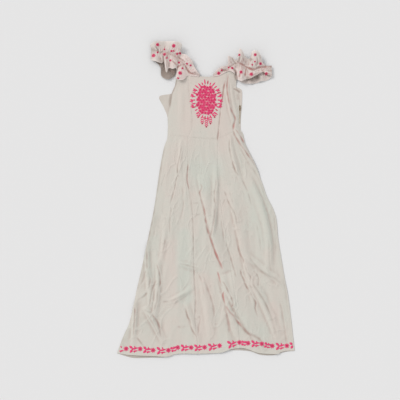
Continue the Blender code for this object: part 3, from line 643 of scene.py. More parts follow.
@dataclass
class DressForm:
    """The front's shape over the floor: air between the layers, folds, straps and crumple."""

    wall: float = 0.8
    low: float = 2.9
    rolled_low: float = 1.75
    roll_reach: float = 14.0
    flat_edge: float = 10.0
    puff_height: float = 4.0
    puff_reach: float = 90.0
    softness: float = 1.6
    strap_height: float = 9.2
    strap_from: float = 222.0
    strap_to: float = 280.0
    fan_width: float = 600.0
    bodice_calm: float = 0.35
    calm_from: float = 30.0
    calm_reach: float = 160.0
    waves: tuple[Wave, ...] = (Wave(2.0, 52, 260), Wave(0.8, 22, 95), Wave(0.28, 9, 26))
    steep_creases: Wave = Wave(2.0, 58, 130)
    slanted_creases: Wave = Wave(1.3, 47, 95)
    crease_sharpness: float = 7.0
    weave: Wave = Wave(0.06, 3.1, 3.1)
    left_edge: list[Point] = field(default_factory=lambda: SIDE_LEFT + SKIRT_LEFT[1:])
    right_edge: list[Point] = field(default_factory=lambda: SIDE_RIGHT + SKIRT_RIGHT[1:])
    seed: int = 11

    def __post_init__(self) -> None:
        """Draws the noises that the crumple is made of."""
        self.noises = [Noise(self.seed + i) for i in range(7)]

    def thin_lines(self, noise: np.ndarray) -> np.ndarray:
        """Marks the thin lines along which a noise passes through zero."""
        return (1 - np.clip(np.abs(noise) * self.crease_sharpness, 0, 1)) ** 2

    def sharp_creases(self, across: np.ndarray, y: np.ndarray) -> np.ndarray:
        """Thin broken ridges, some along the skirt's flare and some slanted to it.

        Args:
            across: The points' places across the flare, as if the dress were of one width.
            y: Their places up.

        Returns:
            The rise in millimetres.
        """
        ridge, bend, mask = self.noises[3:6]
        steep, slanted = self.steep_creases, self.slanted_creases
        warp = bend(across / 60, y / 80)
        line = self.thin_lines(ridge(across / steep.across + 0.7 * warp, y / steep.down + 0.5 * warp))
        rise = steep.height * line * smooth_step(mask(across / 130, y / 150) * 2 + 0.4)
        # The same noises, turned and moved, give the slanted ones
        lean_across = y / 210 + 31
        lean_down = bend(y / 60, across / 50) - across / 170
        line = self.thin_lines(ridge(across / slanted.across + lean_across, y / slanted.down + lean_down))
        return rise + slanted.height * line * smooth_step(mask(y / 140 + 40, across / 120) * 2 + 0.2)

    def crumple(self, x: np.ndarray, y: np.ndarray) -> np.ndarray:
        """Small uneven waves and creases that fan out with the skirt's flare.

        Args:
            x: The points' places across, in drawing millimetres.
            y: Their places up.

        Returns:
            The rise in millimetres.
        """
        left, right = edge_at(self.left_edge, y), edge_at(self.right_edge, y)
        across = (x - (left + right) / 2) / (right - left) * self.fan_width
        calm = self.bodice_calm + (1 - self.bodice_calm) * smooth_step((self.calm_from - y) / self.calm_reach)
        waves = sum(wave.height * noise(across / wave.across, y / wave.down)
                    for wave, noise in zip(self.waves, self.noises))
        rough = self.weave.height * self.noises[6](x / self.weave.across, y / self.weave.down)
        return calm * (waves + self.sharp_creases(across, y)) + rough

    def surface(self, x: np.ndarray, y: np.ndarray) -> tuple[np.ndarray, np.ndarray, np.ndarray]:
        """Shapes the front.

        Args:
            x: The points' places across, in drawing millimetres.
            y: The points' places up.

        Returns:
            The height of the front's upper face over the floor, its painted shade and its pink painted shade.
        """
        inset = np.minimum(x - edge_at(self.left_edge, y), edge_at(self.right_edge, y) - x)
        rise, shade, pink = crease_effects(CREASES, x, y)
        rise = rise + self.puff_height * smooth_step(inset / self.puff_reach)
        rise = rise + fold_rise(MAIN_FOLDS, x, y) + self.crumple(x, y) * smooth_step(inset / self.flat_edge)
        low = self.rolled_low + (self.low - self.rolled_low) * smooth_step(inset / self.roll_reach)
        settled = np.log1p(np.exp(rise * self.softness)) / self.softness
        height = low + settled - 0.25 * np.exp(-np.abs(rise))
        strap = smooth_step((y - self.strap_from) / (self.strap_to - self.strap_from))
        return height * (1 - strap) + self.strap_height * strap, shade, pink


def box_blur(values: np.ndarray, reach: int) -> np.ndarray:
    """Averages a grid of values over its neighbours, first across and then down.

    Args:
        values: The grid.
        reach: How many neighbours on each side count.

    Returns:
        The averaged grid.
    """
    kernel = np.ones(2 * reach + 1) / (2 * reach + 1)
    padded = np.pad(values, reach, mode="edge")
    rows = np.apply_along_axis(lambda line: np.convolve(line, kernel, mode="valid"), 1, padded)
    return np.apply_along_axis(lambda line: np.convolve(line, kernel, mode="valid"), 0, rows)


def seam_shares(count: int, closeness: Sequence[float]) -> np.ndarray:
    """Shares from 0 to 1 in even steps, with more of them near both ends.

    Args:
        count: How many even steps.
        closeness: The added shares, from an end.

    Returns:
        The shares in order.
    """
    inner = np.linspace(0, 1, count + 1)[1:-1]
    near = np.array(closeness)
    shares = np.concatenate([[0], near, inner, 1 - near, [1]])
    return np.unique(np.round(shares, 6))


def panel_plan(top: list[Point], bottom: list[Point], left: list[Point], right: list[Point],
               across: np.ndarray, down: np.ndarray) -> np.ndarray:
    """Spreads a grid of points between a panel's four edges.

    Args:
        top: The upper edge, from left to right.
        bottom: The lower edge, from left to right.
        left: The left edge, downwards.
        right: The right edge, downwards.
        across: The grid's shares across.
        down: The grid's shares down.

    Returns:
        The grid, rows downwards, each point an x and a y.
    """
    head, foot = curve_at(top, across), curve_at(bottom, across)
    west, east = curve_at(left, down), curve_at(right, down)
    u, v = across[None, :, None], down[:, None, None]
    sides = (1 - u) * west[:, None, :] + u * east[:, None, :]
    ends = (1 - v) * head[None, :, :] + v * foot[None, :, :]
    corners = (1 - u) * (1 - v) * head[0] + u * (1 - v) * head[-1] + (1 - u) * v * foot[0] + u * v * foot[-1]
    return sides + ends - corners


def grid_mesh(name: str, places: np.ndarray) -> Mesh:
    """Makes a sheet of quads from a grid of world points, rows downwards.

    Args:
        name: The mesh's name.
        places: The grid of points, in metres.

    Returns:
        The mesh, whose faces look up.
    """
    rows, columns = places.shape[:2]
    index = np.arange(rows * columns).reshape(rows, columns)
    quads = np.stack([index[:-1, :-1], index[1:, :-1], index[1:, 1:], index[:-1, 1:]], axis=-1).reshape(-1, 4)
    mesh = bpy.data.meshes.new(name)
    mesh.vertices.add(rows * columns)
    mesh.vertices.foreach_set("co", places.reshape(-1))
    mesh.loops.add(quads.size)
    mesh.loops.foreach_set("vertex_index", quads.reshape(-1))
    mesh.polygons.add(len(quads))
    mesh.polygons.foreach_set("loop_start", np.arange(len(quads)) * 4)
    mesh.update(calc_edges=True)
    mesh.validate()
    if sum(polygon.normal.z * polygon.area for polygon in mesh.polygons) < 0:
        mesh.flip_normals()
    return mesh


def set_attribute(mesh: Mesh, name: str, values: np.ndarray) -> None:
    """Stores one number for each of a mesh's points."""
    attribute = mesh.attributes.new(name, "FLOAT", "POINT")
    attribute.data.foreach_set("value", np.ascontiguousarray(values, dtype=np.float32).reshape(-1))


def add_object(name: str, mesh: Mesh, material: Material) -> Object:
    """Puts a smooth-shaded mesh in the scene with one material.

    Args:
        name: The piece's name.
        mesh: Its mesh.
        material: Its finish.

    Returns:
        The piece.
    """
    mesh.materials.append(material)
    mesh.shade_smooth()
    thing = bpy.data.objects.new(name, mesh)
    bpy.context.scene.collection.objects.link(thing)
    return thing


def give_wall(thing: Object, wall: float) -> None:
    """Gives an open sheet a thickness in millimetres below its face and keeps the result as its mesh.

    Args:
        thing: The sheet.
        wall: Its thickness in millimetres.
    """
    solidify = thing.modifiers.new("wall", "SOLIDIFY")
    solidify.thickness = wall * MM
    solidify.offset = -1.0
    graph = bpy.context.evaluated_depsgraph_get()
    result = bpy.data.meshes.new_from_object(thing.evaluated_get(graph))
    thing.modifiers.clear()
    old = thing.data
    thing.data = result
    bpy.data.meshes.remove(old)


class Cloth:
    """All upper faces of the cloth, for what is sewn on it to follow."""

    SEAM_STEPS = (0.0, 0.3, -0.3)
    ABOVE_ALL = 200.0

    def __init__(self) -> None:
        """Starts with no cloth."""
        self.trees: dict[str, BVHTree] = {}

    def add(self, name: str, mesh: Mesh) -> None:
        """Adds a sheet's upper face.

        Args:
            name: The sheet's name.
            mesh: Its upper face.
        """
        points = [vertex.co.copy() for vertex in mesh.vertices]
        faces = [tuple(polygon.vertices) for polygon in mesh.polygons]
        self.trees[name] = BVHTree.FromPolygons(points, faces)

    def drop(self, x: float, y: float, names: Iterable[str] | None = None) -> tuple[Vector, Vector] | None:
        """Finds the cloth under a drawing point, or just beside it where the point is in a seam.

        Args:
            x: The point's place across, in drawing millimetres.
            y: Its place up.
            names: The sheets to look at, or None for all.

        Returns:
            The highest place on them and its normal, or None where there is no cloth.
        """
        for aside in self.SEAM_STEPS:
            start = Vector(to_world(x + aside, y, self.ABOVE_ALL))
            best = None
            for name in (names or self.trees):
                hit, normal, _, _ = self.trees[name].ray_cast(start, Vector((0, 0, -1)))
                if hit is not None and (best is None or hit.z > best[0].z):
                    best = (hit, normal if normal.z > 0 else -normal)
            if best is not None:
                return best
        return None


# Shader building


class Nodes:
    """A short way to add and join nodes in a tree."""

    def __init__(self, tree: NodeTree) -> None:
        """Keeps the tree to build in."""
        self.tree = tree

    def add(self, kind: str, **settings: object) -> Node:
        """Adds a node and sets its options.

        Args:
            kind: The node's type.
            settings: Its options by name.

        Returns:
            The node.
        """
        node = self.tree.nodes.new(kind)
        for name, value in settings.items():
            setattr(node, name, value)
        return node

    def join(self, source: NodeSocket, target: NodeSocket) -> None:
        """Links two sockets."""
        self.tree.links.new(source, target)

    def math(self, operation: str, *values: object, clamp: bool = False) -> NodeSocket:
        """Adds a Math node on sockets or numbers and gives its result.

        Args:
            operation: What it works out.
            values: Its sockets or numbers.
            clamp: Whether the result stays from 0 to 1.

        Returns:
            The result.
        """
        node = self.add("ShaderNodeMath", operation=operation, use_clamp=clamp)
        for socket, value in zip(node.inputs, values):
            if isinstance(value, NodeSocket):
                self.join(value, socket)
            else:
                socket.default_value = value
        return node.outputs[0]


# The colour sockets of a Mix node: its factor, its first and its second colour
MIX_SOCKETS = (0, 6, 7)
MIX_RESULT = 2


def mix_colours(nodes: Nodes, share: object, first: object, second: object) -> NodeSocket:
    """Mixes two colours by a share and gives the result.

    Args:
        nodes: The node builder.
        share: How much of the second shows.
        first: The first colour or socket.
        second: The second one.

    Returns:
        The mixed colour.
    """
    node = nodes.add("ShaderNodeMix", data_type="RGBA")
    for index, value in zip(MIX_SOCKETS, (share, first, second)):
        if isinstance(value, NodeSocket):
            nodes.join(value, node.inputs[index])
        else:
            node.inputs[index].default_value = value
    return node.outputs[MIX_RESULT]


def new_group(name: str, inputs: dict[str, float], outputs: Sequence[str]) -> tuple[Nodes, object, object]:
    """Starts a shader node group.

    Args:
        name: The group's name.
        inputs: Its number inputs with their defaults.
        outputs: Its number outputs.

    Returns:
        The node builder, the input node's sockets and the output node's sockets.
    """
    tree = bpy.data.node_groups.new(name, "ShaderNodeTree")
    for label, value in inputs.items():
        tree.interface.new_socket(label, in_out="INPUT", socket_type="NodeSocketFloat").default_value = value
    for label in outputs:
        tree.interface.new_socket(label, in_out="OUTPUT", socket_type="NodeSocketFloat")
    nodes = Nodes(tree)
    return nodes, nodes.add("NodeGroupInput").outputs, nodes.add("NodeGroupOutput").inputs


def object_axes(nodes: Nodes) -> NodeOutputs:
    """Splits the object's own coordinates into their three axes.

    Args:
        nodes: The node builder.

    Returns:
        The coordinates X, Y and Z.
    """
    split = nodes.add("ShaderNodeSeparateXYZ")
    nodes.join(nodes.add("ShaderNodeTexCoord").outputs["Object"], split.inputs[0])
    return split.outputs


def plane_noise(nodes: Nodes, u: NodeSocket, v: NodeSocket, detail: float) -> NodeSocket:
    """Adds a noise over two scaled coordinates and gives its value.

    Args:
        nodes: The node builder.
        u: The first coordinate.
        v: The second coordinate.
        detail: How many finer layers it has.

    Returns:
        The noise from 0 to 1.
    """
    place = nodes.add("ShaderNodeCombineXYZ")
    nodes.join(u, place.inputs[0])
    nodes.join(v, place.inputs[1])
    noise = nodes.add("ShaderNodeTexNoise", noise_dimensions="3D")
    noise.inputs["Scale"].default_value = 1.0
    noise.inputs["Detail"].default_value = detail
    nodes.join(place.outputs[0], noise.inputs["Vector"])
    return noise.outputs["Fac"]


class Effects:
    """The shader effects that several materials share, each built once as a node group."""

    THREAD_WOBBLE = 260.0
    CROSSING_HEIGHT = 0.3
    SLUB_FROM = 0.58
    SLUB_SHARPNESS = 6.0

    def __init__(self) -> None:
        """Builds the groups."""
        self.weave = self.build_weave()
        self.mottle = self.build_mottle()
        self.slubs = self.build_slubs()
        self.strands = self.build_strands()

    def build_weave(self) -> NodeTree:
        """Plain weave: crossing rows of threads, in millimetres, slightly uneven.

        Returns:
            The group, which gives the threads' height and the gaps between them, darkened in the materials as
            painted shade.
        """
        nodes, given, result = new_group("plain_weave", {"Thread Width": 0.45, "Unevenness": 0.4},
                                         ("Height", "Gaps"))
        wobble = nodes.add("ShaderNodeTexNoise", noise_dimensions="3D")
        wobble.inputs["Scale"].default_value = self.THREAD_WOBBLE
        nodes.join(nodes.add("ShaderNodeTexCoord").outputs["Object"], wobble.inputs["Vector"])
        centred = nodes.math("SUBTRACT", wobble.outputs["Fac"], 0.5)
        shift = nodes.math("MULTIPLY", centred, given["Unevenness"])
        waves = []
        for axis in object_axes(nodes)[:2]:
            threads = nodes.math("DIVIDE", nodes.math("MULTIPLY", axis, MM_PER_METRE), given["Thread Width"])
            turn = nodes.math("MULTIPLY", nodes.math("ADD", threads, shift), math.pi)
            waves.append(nodes.math("SINE", turn))
        over = nodes.math("MULTIPLY", waves[0], waves[1])
        bumps = nodes.math("MAXIMUM", nodes.math("ABSOLUTE", waves[0]), nodes.math("ABSOLUTE", waves[1]))
        crossings = nodes.math("MULTIPLY", over, self.CROSSING_HEIGHT)
        nodes.join(nodes.math("ADD", bumps, crossings), result["Height"])
        nodes.join(nodes.math("SUBTRACT", 1.0, bumps), result["Gaps"])
        return nodes.tree

    def build_mottle(self) -> NodeTree:
        """Broad soft patches, longer down the cloth than across it.

        Returns:
            The group, which gives a share from 0 to 1.
        """
        nodes, given, result = new_group("soft_patches", {"Size": 0.08, "Stretch": 3.0, "Contrast": 2.0},
                                         ("Share",))
        x, y = object_axes(nodes)[:2]
        tall = nodes.math("MULTIPLY", given["Size"], given["Stretch"])
        across, down = nodes.math("DIVIDE", x, given["Size"]), nodes.math("DIVIDE", y, tall)
        patches = plane_noise(nodes, across, down, detail=3.0)
        centred = nodes.math("MULTIPLY", nodes.math("SUBTRACT", patches, 0.5), given["Contrast"])
        nodes.join(nodes.math("ADD", centred, 0.5, clamp=True), result["Share"])
        return nodes.tree

    def build_slubs(self) -> NodeTree:
        """Thicker yarns that run some way along the warp and the weft.

        Returns:
            The group, which gives how thick the yarn is.
        """
        nodes, given, result = new_group("slub_yarns", {"Width": 1.2, "Length": 60.0}, ("Slubs",))
        x, y = (nodes.math("MULTIPLY", axis, MM_PER_METRE) for axis in object_axes(nodes)[:2])
        layers = []
        for thin, long in ((x, y), (y, x)):
            yarns = plane_noise(nodes, nodes.math("DIVIDE", thin, given["Width"]),
                                nodes.math("DIVIDE", long, given["Length"]), detail=1.0)
            over = nodes.math("SUBTRACT", yarns, self.SLUB_FROM)
            layers.append(nodes.math("MULTIPLY", over, self.SLUB_SHARPNESS, clamp=True))
        nodes.join(nodes.math("MAXIMUM", *layers), result["Slubs"])
        return nodes.tree

    def build_strands(self) -> NodeTree:
        """Strands laid side by side, from the distance that the mesh stores along a stitch.

        Returns:
            The group, which gives the strands' height and a number for each.
        """
        nodes, given, result = new_group("laid_strands", {"Strand Width": 0.5}, ("Height", "Strand"))
        run = nodes.add("ShaderNodeAttribute", attribute_name="thread_run").outputs["Fac"]
        count = nodes.math("DIVIDE", nodes.math("MULTIPLY", run, MM_PER_METRE), given["Strand Width"])
        nodes.join(nodes.math("ABSOLUTE", nodes.math("SINE", nodes.math("MULTIPLY", count, math.pi))),
                   result["Height"])
        noise = nodes.add("ShaderNodeTexWhiteNoise", noise_dimensions="1D")
        nodes.join(nodes.math("FLOOR", count), noise.inputs["W"])
        nodes.join(noise.outputs["Value"], result["Strand"])
        return nodes.tree

    @staticmethod
    def place(nodes: Nodes, group: NodeTree, **values: float) -> NodeOutputs:
        """Adds a group with its values, whose names have underscores for spaces.

        Args:
            nodes: The material's node builder.
            group: The group.
            values: Its values.

        Returns:
            The group's results.
        """
        node = nodes.add("ShaderNodeGroup")
        node.node_tree = group
        for name, value in values.items():
            node.inputs[name.replace("_", " ")].default_value = value
        return node.outputs


def new_material(name: str) -> tuple[Material, Nodes, NodeInputs]:
    """Starts a material and gives its node builder and its Principled shader's inputs.

    Args:
        name: The material's name.

    Returns:
        The material, its node builder and its Principled shader's inputs.
    """
    material = bpy.data.materials.new(name)
    material.use_nodes = True
    return material, Nodes(material.node_tree), material.node_tree.nodes["Principled BSDF"].inputs


def add_bump(nodes: Nodes, height: NodeSocket, distance: float, strength: float, shader: NodeInputs) -> None:
    """Joins a height in shares of a distance in metres to the shader's normal.

    Args:
        nodes: The node builder.
        height: The height, from 0 to about 1.
        distance: What a height of 1 stands for, in metres.
        strength: How much of it shows.
        shader: The shader's inputs.
    """
    bump = nodes.add("ShaderNodeBump")
    bump.inputs["Distance"].default_value = distance
    bump.inputs["Strength"].default_value = strength
    nodes.join(height, bump.inputs["Height"])
    nodes.join(bump.outputs["Normal"], shader["Normal"])


@dataclass(frozen=True)
class CottonFinish:
    """Plain-woven cotton with warm and cool patches, slubs and painted shade, some of it pink, in folds."""

    name: str = "ivory_cotton"
    warm: Colour = (0.602, 0.536, 0.488)
    cool: Colour = (0.543, 0.555, 0.500)
    # Pink painted shade for the creases, then painted shade for hollows, creases and the gaps between threads
    pink_painted_shade: Colour = (0.49, 0.235, 0.215)
    painted_shade: Colour = (0.33, 0.28, 0.24)
    slub: Colour = (0.65, 0.62, 0.56)
    patch_size: float = 0.055
    patch_share: float = 0.36
    fleck_share: float = 0.24
    slub_share: float = 0.22
    # Share of painted shade in the gaps between the threads
    gap_share: float = 0.25
    thread_width: float = 0.45
    thread_height: float = 0.00012
    sheen: float = 0.12
    roughness: float = 0.88

    def material(self, effects: Effects) -> Material:
        """Builds the material from the shared effects.

        Args:
            effects: The shared node groups.

        Returns:
            The material.
        """
        material, nodes, shader = new_material(self.name)
        patches = effects.place(nodes, effects.mottle, Size=self.patch_size, Stretch=1.8, Contrast=2.6)
        flecks = effects.place(nodes, effects.mottle, Size=self.patch_size / 7, Stretch=1.6, Contrast=2.4)
        slubs = effects.place(nodes, effects.slubs, Width=1.4, Length=70.0)["Slubs"]
        weave = effects.place(nodes, effects.weave, Thread_Width=self.thread_width, Unevenness=0.5)
        painted_shade, pink_painted_shade, warmth = (nodes.add("ShaderNodeAttribute", attribute_name=name).outputs["Fac"]
                                 for name in ("painted_shade", "pink_painted_shade", "warmth"))
        uneven = nodes.math("ADD", nodes.math("MULTIPLY", patches["Share"], self.patch_share),
                            nodes.math("MULTIPLY", flecks["Share"], self.fleck_share))
        middle = (self.patch_share + self.fleck_share) / 2
        share = nodes.math("SUBTRACT", nodes.math("ADD", warmth, uneven), middle, clamp=True)
        colour = mix_colours(nodes, share, (*self.cool, 1), (*self.warm, 1))
        # Over the base colour: slubs, painted shade, pink painted shade and painted shade between the threads
        for amount, tone in ((nodes.math("MULTIPLY", slubs, self.slub_share), self.slub),
                             (painted_shade, self.painted_shade), (pink_painted_shade, self.pink_painted_shade),
                             (nodes.math("MULTIPLY", weave["Gaps"], self.gap_share), self.painted_shade)):
            colour = mix_colours(nodes, amount, colour, (*tone, 1))
        nodes.join(colour, shader["Base Color"])
        rough = nodes.math("ADD", self.roughness, nodes.math("MULTIPLY", flecks["Share"], 0.08))
        nodes.join(rough, shader["Roughness"])
        shader["Sheen Weight"].default_value = self.sheen
        shader["Sheen Roughness"].default_value = 0.5
        height = nodes.math("ADD", weave["Height"], nodes.math("MULTIPLY", slubs, 0.8))
        add_bump(nodes, height, self.thread_height, 0.6, shader)
        return material


@dataclass(frozen=True)
class ThreadFinish:
    """Embroidery thread: satin strands laid side by side, glossier than the cloth."""

    name: str
    colour: Colour
    dark: Colour
    strand_width: float = 0.5
    roughness: float = 0.45
    strand_share: float = 0.45
    fade_share: float = 0.4

    def material(self, effects: Effects) -> Material:
        """Builds the material from the shared effects.

        Args:
            effects: The shared node groups.

        Returns:
            The material.
        """
        material, nodes, shader = new_material(self.name)
        strands = effects.place(nodes, effects.strands, Strand_Width=self.strand_width)
        fade = effects.place(nodes, effects.mottle, Size=0.012, Stretch=1.0, Contrast=2.0)["Share"]
        tone = nodes.math("ADD", nodes.math("MULTIPLY", strands["Strand"], self.strand_share),
                          nodes.math("MULTIPLY", fade, self.fade_share))
        colour = mix_colours(nodes, tone, (*self.colour, 1), (*self.dark, 1))
        nodes.join(colour, shader["Base Color"])
        rough = nodes.math("ADD", self.roughness, nodes.math("MULTIPLY", strands["Strand"], 0.15))
        nodes.join(rough, shader["Roughness"])
        shader["Sheen Weight"].default_value = 0.2
        add_bump(nodes, strands["Height"], 0.0002, 0.8, shader)
        return material


@dataclass(frozen=True)
class TapeFinish:
    """Woven zip tape: narrow ribs along its length, soiled in patches, with painted shade between its
    threads.
    """

    name: str = "zip_tape_weave"
    colour: Colour = (0.50, 0.43, 0.34)
    # The darker colour serves both for soil and for painted shade in the weave's gaps
    shade: Colour = (0.36, 0.30, 0.23)

    def material(self, effects: Effects) -> Material:
        """Builds the material from the shared effects.

        Args:
            effects: The shared node groups.

        Returns:
            The material.
        """
        material, nodes, shader = new_material(self.name)
        weave = effects.place(nodes, effects.weave, Thread_Width=0.7, Unevenness=0.2)
        soil = effects.place(nodes, effects.mottle, Size=0.01, Stretch=2.0, Contrast=2.5)["Share"]
        colour = mix_colours(nodes, nodes.math("MULTIPLY", soil, 0.6), (*self.colour, 1), (*self.shade, 1))
        nodes.join(mix_colours(nodes, weave["Gaps"], colour, (*self.shade, 1)), shader["Base Color"])
        shader["Roughness"].default_value = 0.8
        add_bump(nodes, weave["Height"], 0.00015, 0.7, shader)
        return material


@dataclass(frozen=True)
class MetalFinish:
    """Dark aged brass, rubbed brighter where the patches are thin."""

    name: str = "aged_brass"
    colour: Colour = (0.20, 0.115, 0.055)
    bright: Colour = (0.50, 0.35, 0.18)

    def material(self, effects: Effects) -> Material:
        """Builds the material from the shared effects.

        Args:
            effects: The shared node groups.

        Returns:
            The material.
        """
        material, nodes, shader = new_material(self.name)
        rub = effects.place(nodes, effects.mottle, Size=0.003, Stretch=1.5, Contrast=3.0)["Share"]
        nodes.join(mix_colours(nodes, nodes.math("POWER", rub, 3.0), (*self.colour, 1), (*self.bright, 1)),
                   shader["Base Color"])
        nodes.join(nodes.math("ADD", 0.32, nodes.math("MULTIPLY", rub, 0.2)), shader["Roughness"])
        shader["Metallic"].default_value = 0.85
        add_bump(nodes, rub, 0.00008, 0.5, shader)
        return material


@dataclass(frozen=True)
class FloorFinish:
    """Pale even studio floor."""

    name: str = "pale_floor"
    colour: Colour = (0.718, 0.718, 0.722)

    def material(self) -> Material:
        """Builds the material.

        Returns:
            The material.
        """
        material, _, shader = new_material(self.name)
        shader["Base Color"].default_value = (*self.colour, 1)
        shader["Roughness"].default_value = 0.95
        shader["Specular IOR Level"].default_value = 0.1
        return material


@dataclass
class Materials:
    """Every finish of the dress, built once."""

    effects: Effects = field(default_factory=Effects)

    def __post_init__(self) -> None:
        """Builds the materials."""
        self.cotton = CottonFinish().material(self.effects)
        # The ruffles' cotton is lighter, with a darker painted shade colour
        self.ruffle = CottonFinish(name="ruffle_cotton", warm=(0.76, 0.655, 0.625), cool=(0.67, 0.655, 0.605),
                                   patch_size=0.03, painted_shade=(0.27, 0.22, 0.19)).material(self.effects)
        self.thread = ThreadFinish("pink_thread", (0.80, 0.050, 0.195),
                                   (0.56, 0.018, 0.095)).material(self.effects)
        self.deep_thread = ThreadFinish("deep_pink_thread", (0.64, 0.016, 0.090),
                                        (0.38, 0.006, 0.045)).material(self.effects)
        self.sewing = ThreadFinish("ivory_sewing_thread", (0.60, 0.53, 0.47), (0.45, 0.38, 0.33),
                                   strand_width=0.3, roughness=0.7).material(self.effects)
        self.tape = TapeFinish().material(self.effects)
        self.metal = MetalFinish().material(self.effects)


@dataclass
class Workroom:
    """What every part is made with: the dress's form, the cloth made so far and the materials."""

    materials: Materials = field(default_factory=Materials)
    form: DressForm = field(default_factory=DressForm)
    cloth: Cloth = field(default_factory=Cloth)


def sew_to_dress(piece: Object) -> None:
    """Lets a piece move with the dress."""
    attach(piece, DRESS)


def sew_sheet(node: str, mesh: Mesh, material: Material, wall: float) -> Object:
    """Makes the cloth that stands for a construction solid.

    Args:
        node: The solid's name.
        mesh: The cloth's upper face.
        material: Its finish.
        wall: Its thickness in millimetres, below the upper face.

    Returns:
        The sheet, sewn to the dress.
    """
    sheet = add_object(f"{node}_cloth", mesh, material)
    give_wall(sheet, wall)
    sew_to_dress(sheet)
    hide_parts(node)
    return sheet


def mark_cloth(mesh: Mesh, painted_shade: np.ndarray, pink_painted_shade: np.ndarray, warmth: np.ndarray) -> None:
    """Stores each point's share of painted shade, of pink painted shade and of warmth, from 0 to 1."""
    for name, values in (("painted_shade", painted_shade), ("pink_painted_shade", pink_painted_shade), ("warmth", warmth)):
        set_attribute(mesh, name, np.clip(values, 0, 1))


def waist_parts(shift: float) -> list[list[Point]]:
    """Parts the waist seam at the two princess seams and moves it up by a shift."""
    corners = (WAIST[0], PRINCESS_LEFT[-1], PRINCESS_RIGHT[-1], WAIST[-1])
    return [moved(stretch_between(WAIST, first, last), 0, shift) for first, last in zip(corners, corners[1:])]


@dataclass
class FrontPanel:
    """One front panel: a sheet between two seams, over the dress's form."""

    name: str
    top: list[Point]
    bottom: list[Point]
    left: list[Point]
    right: list[Point]
    rests_on: str
    across: int
    down: int
    hem_depth: float = 0.0
    hem_step: float = 0.5
    hem_ease: float = 4.0
    seam_dip: float = 0.45
    seam_reach: float = 3.0
    # How deep a hollow must be to get painted shade and pink painted shade, and how much of each
    hollow_from: float = 0.3
    hollow_range: float = 2.5
    hollow_shade: float = 0.4
    hollow_pink: float = 0.15
    near_sides: tuple[float, ...] = (0.006, 0.014, 0.024)
    near_ends: tuple[float, ...] = (0.0012, 0.003, 0.0055)
    dip_left: bool = True
    dip_right: bool = True

    def build(self, room: Workroom) -> Object:
        """Makes the sheet.

        Args:
            room: The dress's form, cloth and materials.

        Returns:
            The panel.
        """
        across = seam_shares(self.across, self.near_sides)
        down = seam_shares(self.down, self.near_ends)
        plan = panel_plan(self.top, self.bottom, self.left, self.right, across, down)
        x, y = plan[..., 0], plan[..., 1]
        height, shade, pink = room.form.surface(x, y)
        height = height - self.dip_at_seams(x, plan)
        if self.hem_depth:
            below_turning = self.hem_depth + self.hem_ease / 2 - (y - plan[-1:, :, 1])
            height = height + self.hem_step * smooth_step(below_turning / self.hem_ease)
        places = np.stack(to_world(x, y, height), axis=-1)
        mesh = grid_mesh(self.name, places)
        # Painted shade and pink painted shade in the hollows, where the cloth lies below its surroundings, on
        # top of the creases'
        depth = box_blur(height, reach=5) - height
        hollow = np.clip((depth - self.hollow_from) / self.hollow_range, 0, 1)
        dark, pink_shade = shade + self.hollow_shade * hollow, pink + self.hollow_pink * hollow
        mark_cloth(mesh, dark, pink_shade, warmth_at(x, y))
        room.cloth.add(self.name, mesh)
        panel = sew_sheet(self.name, mesh, room.materials.cotton, room.form.wall)
        return panel

    def dip_at_seams(self, x: np.ndarray, plan: np.ndarray) -> np.ndarray:
        """Depth by which the cloth is drawn in along the panel's seams.

        Args:
            x: The points' places across, in drawing millimetres.
            plan: The panel's grid.

        Returns:
            The depth in millimetres.
        """
        dip = np.zeros(x.shape)
        if self.dip_left:
            dip += np.exp(-((x - plan[:, :1, 0]) / self.seam_reach) ** 2)
        if self.dip_right:
            dip += np.exp(-((x - plan[:, -1:, 0]) / self.seam_reach) ** 2)
        return self.seam_dip * dip


@dataclass
class BackPanel:
    """One back panel: a thin sheet on the floor with faint creases, and an even painted shade that deepens in
    dips.
    """

    name: str
    top: list[Point]
    bottom: list[Point]
    left: list[Point]
    right: list[Point]
    across: int
    down: int
    shade: float
    crease: float = 0.35
    waves: tuple[Wave, ...] = (Wave(1.0, 40, 120), Wave(0.6, 16, 45))
    warmth: float = 0.8
    dip_shade: float = 0.2
    pink_share: float = 0.3
    near_sides: tuple[float, ...] = (0.004,)
    near_ends: tuple[float, ...] = (0.002,)

    def build(self, room: Workroom) -> Object:
        """Makes the sheet on the floor.

        Args:
            room: The dress's form, cloth and materials.

        Returns:
            The panel.
        """
        across = seam_shares(self.across, self.near_sides)
        down = seam_shares(self.down, self.near_ends)
        plan = panel_plan(self.top, self.bottom, self.left, self.right, across, down)
        x, y = plan[..., 0], plan[..., 1]
        waves = sum(wave.height * noise(x / wave.across, y / wave.down)
                    for wave, noise in zip(self.waves, room.form.noises))
        height = room.form.wall + self.crease * np.clip(waves, 0, None)
        mesh = grid_mesh(self.name, np.stack(to_world(x, y, height), axis=-1))
        _, shade, pink = crease_effects(CREASES, x, y)
        # Painted shade: the panel's even share or the creases' if more, plus more in the dips; a little pink
        # painted shade
        dark = np.maximum(shade, self.shade) + self.dip_shade * np.clip(-waves, 0, 1)
        mark_cloth(mesh, dark, self.pink_share * pink, np.full(x.shape, self.warmth))
        room.cloth.add(self.name, mesh)
        panel = sew_sheet(self.name, mesh, room.materials.cotton, room.form.wall)
        return panel


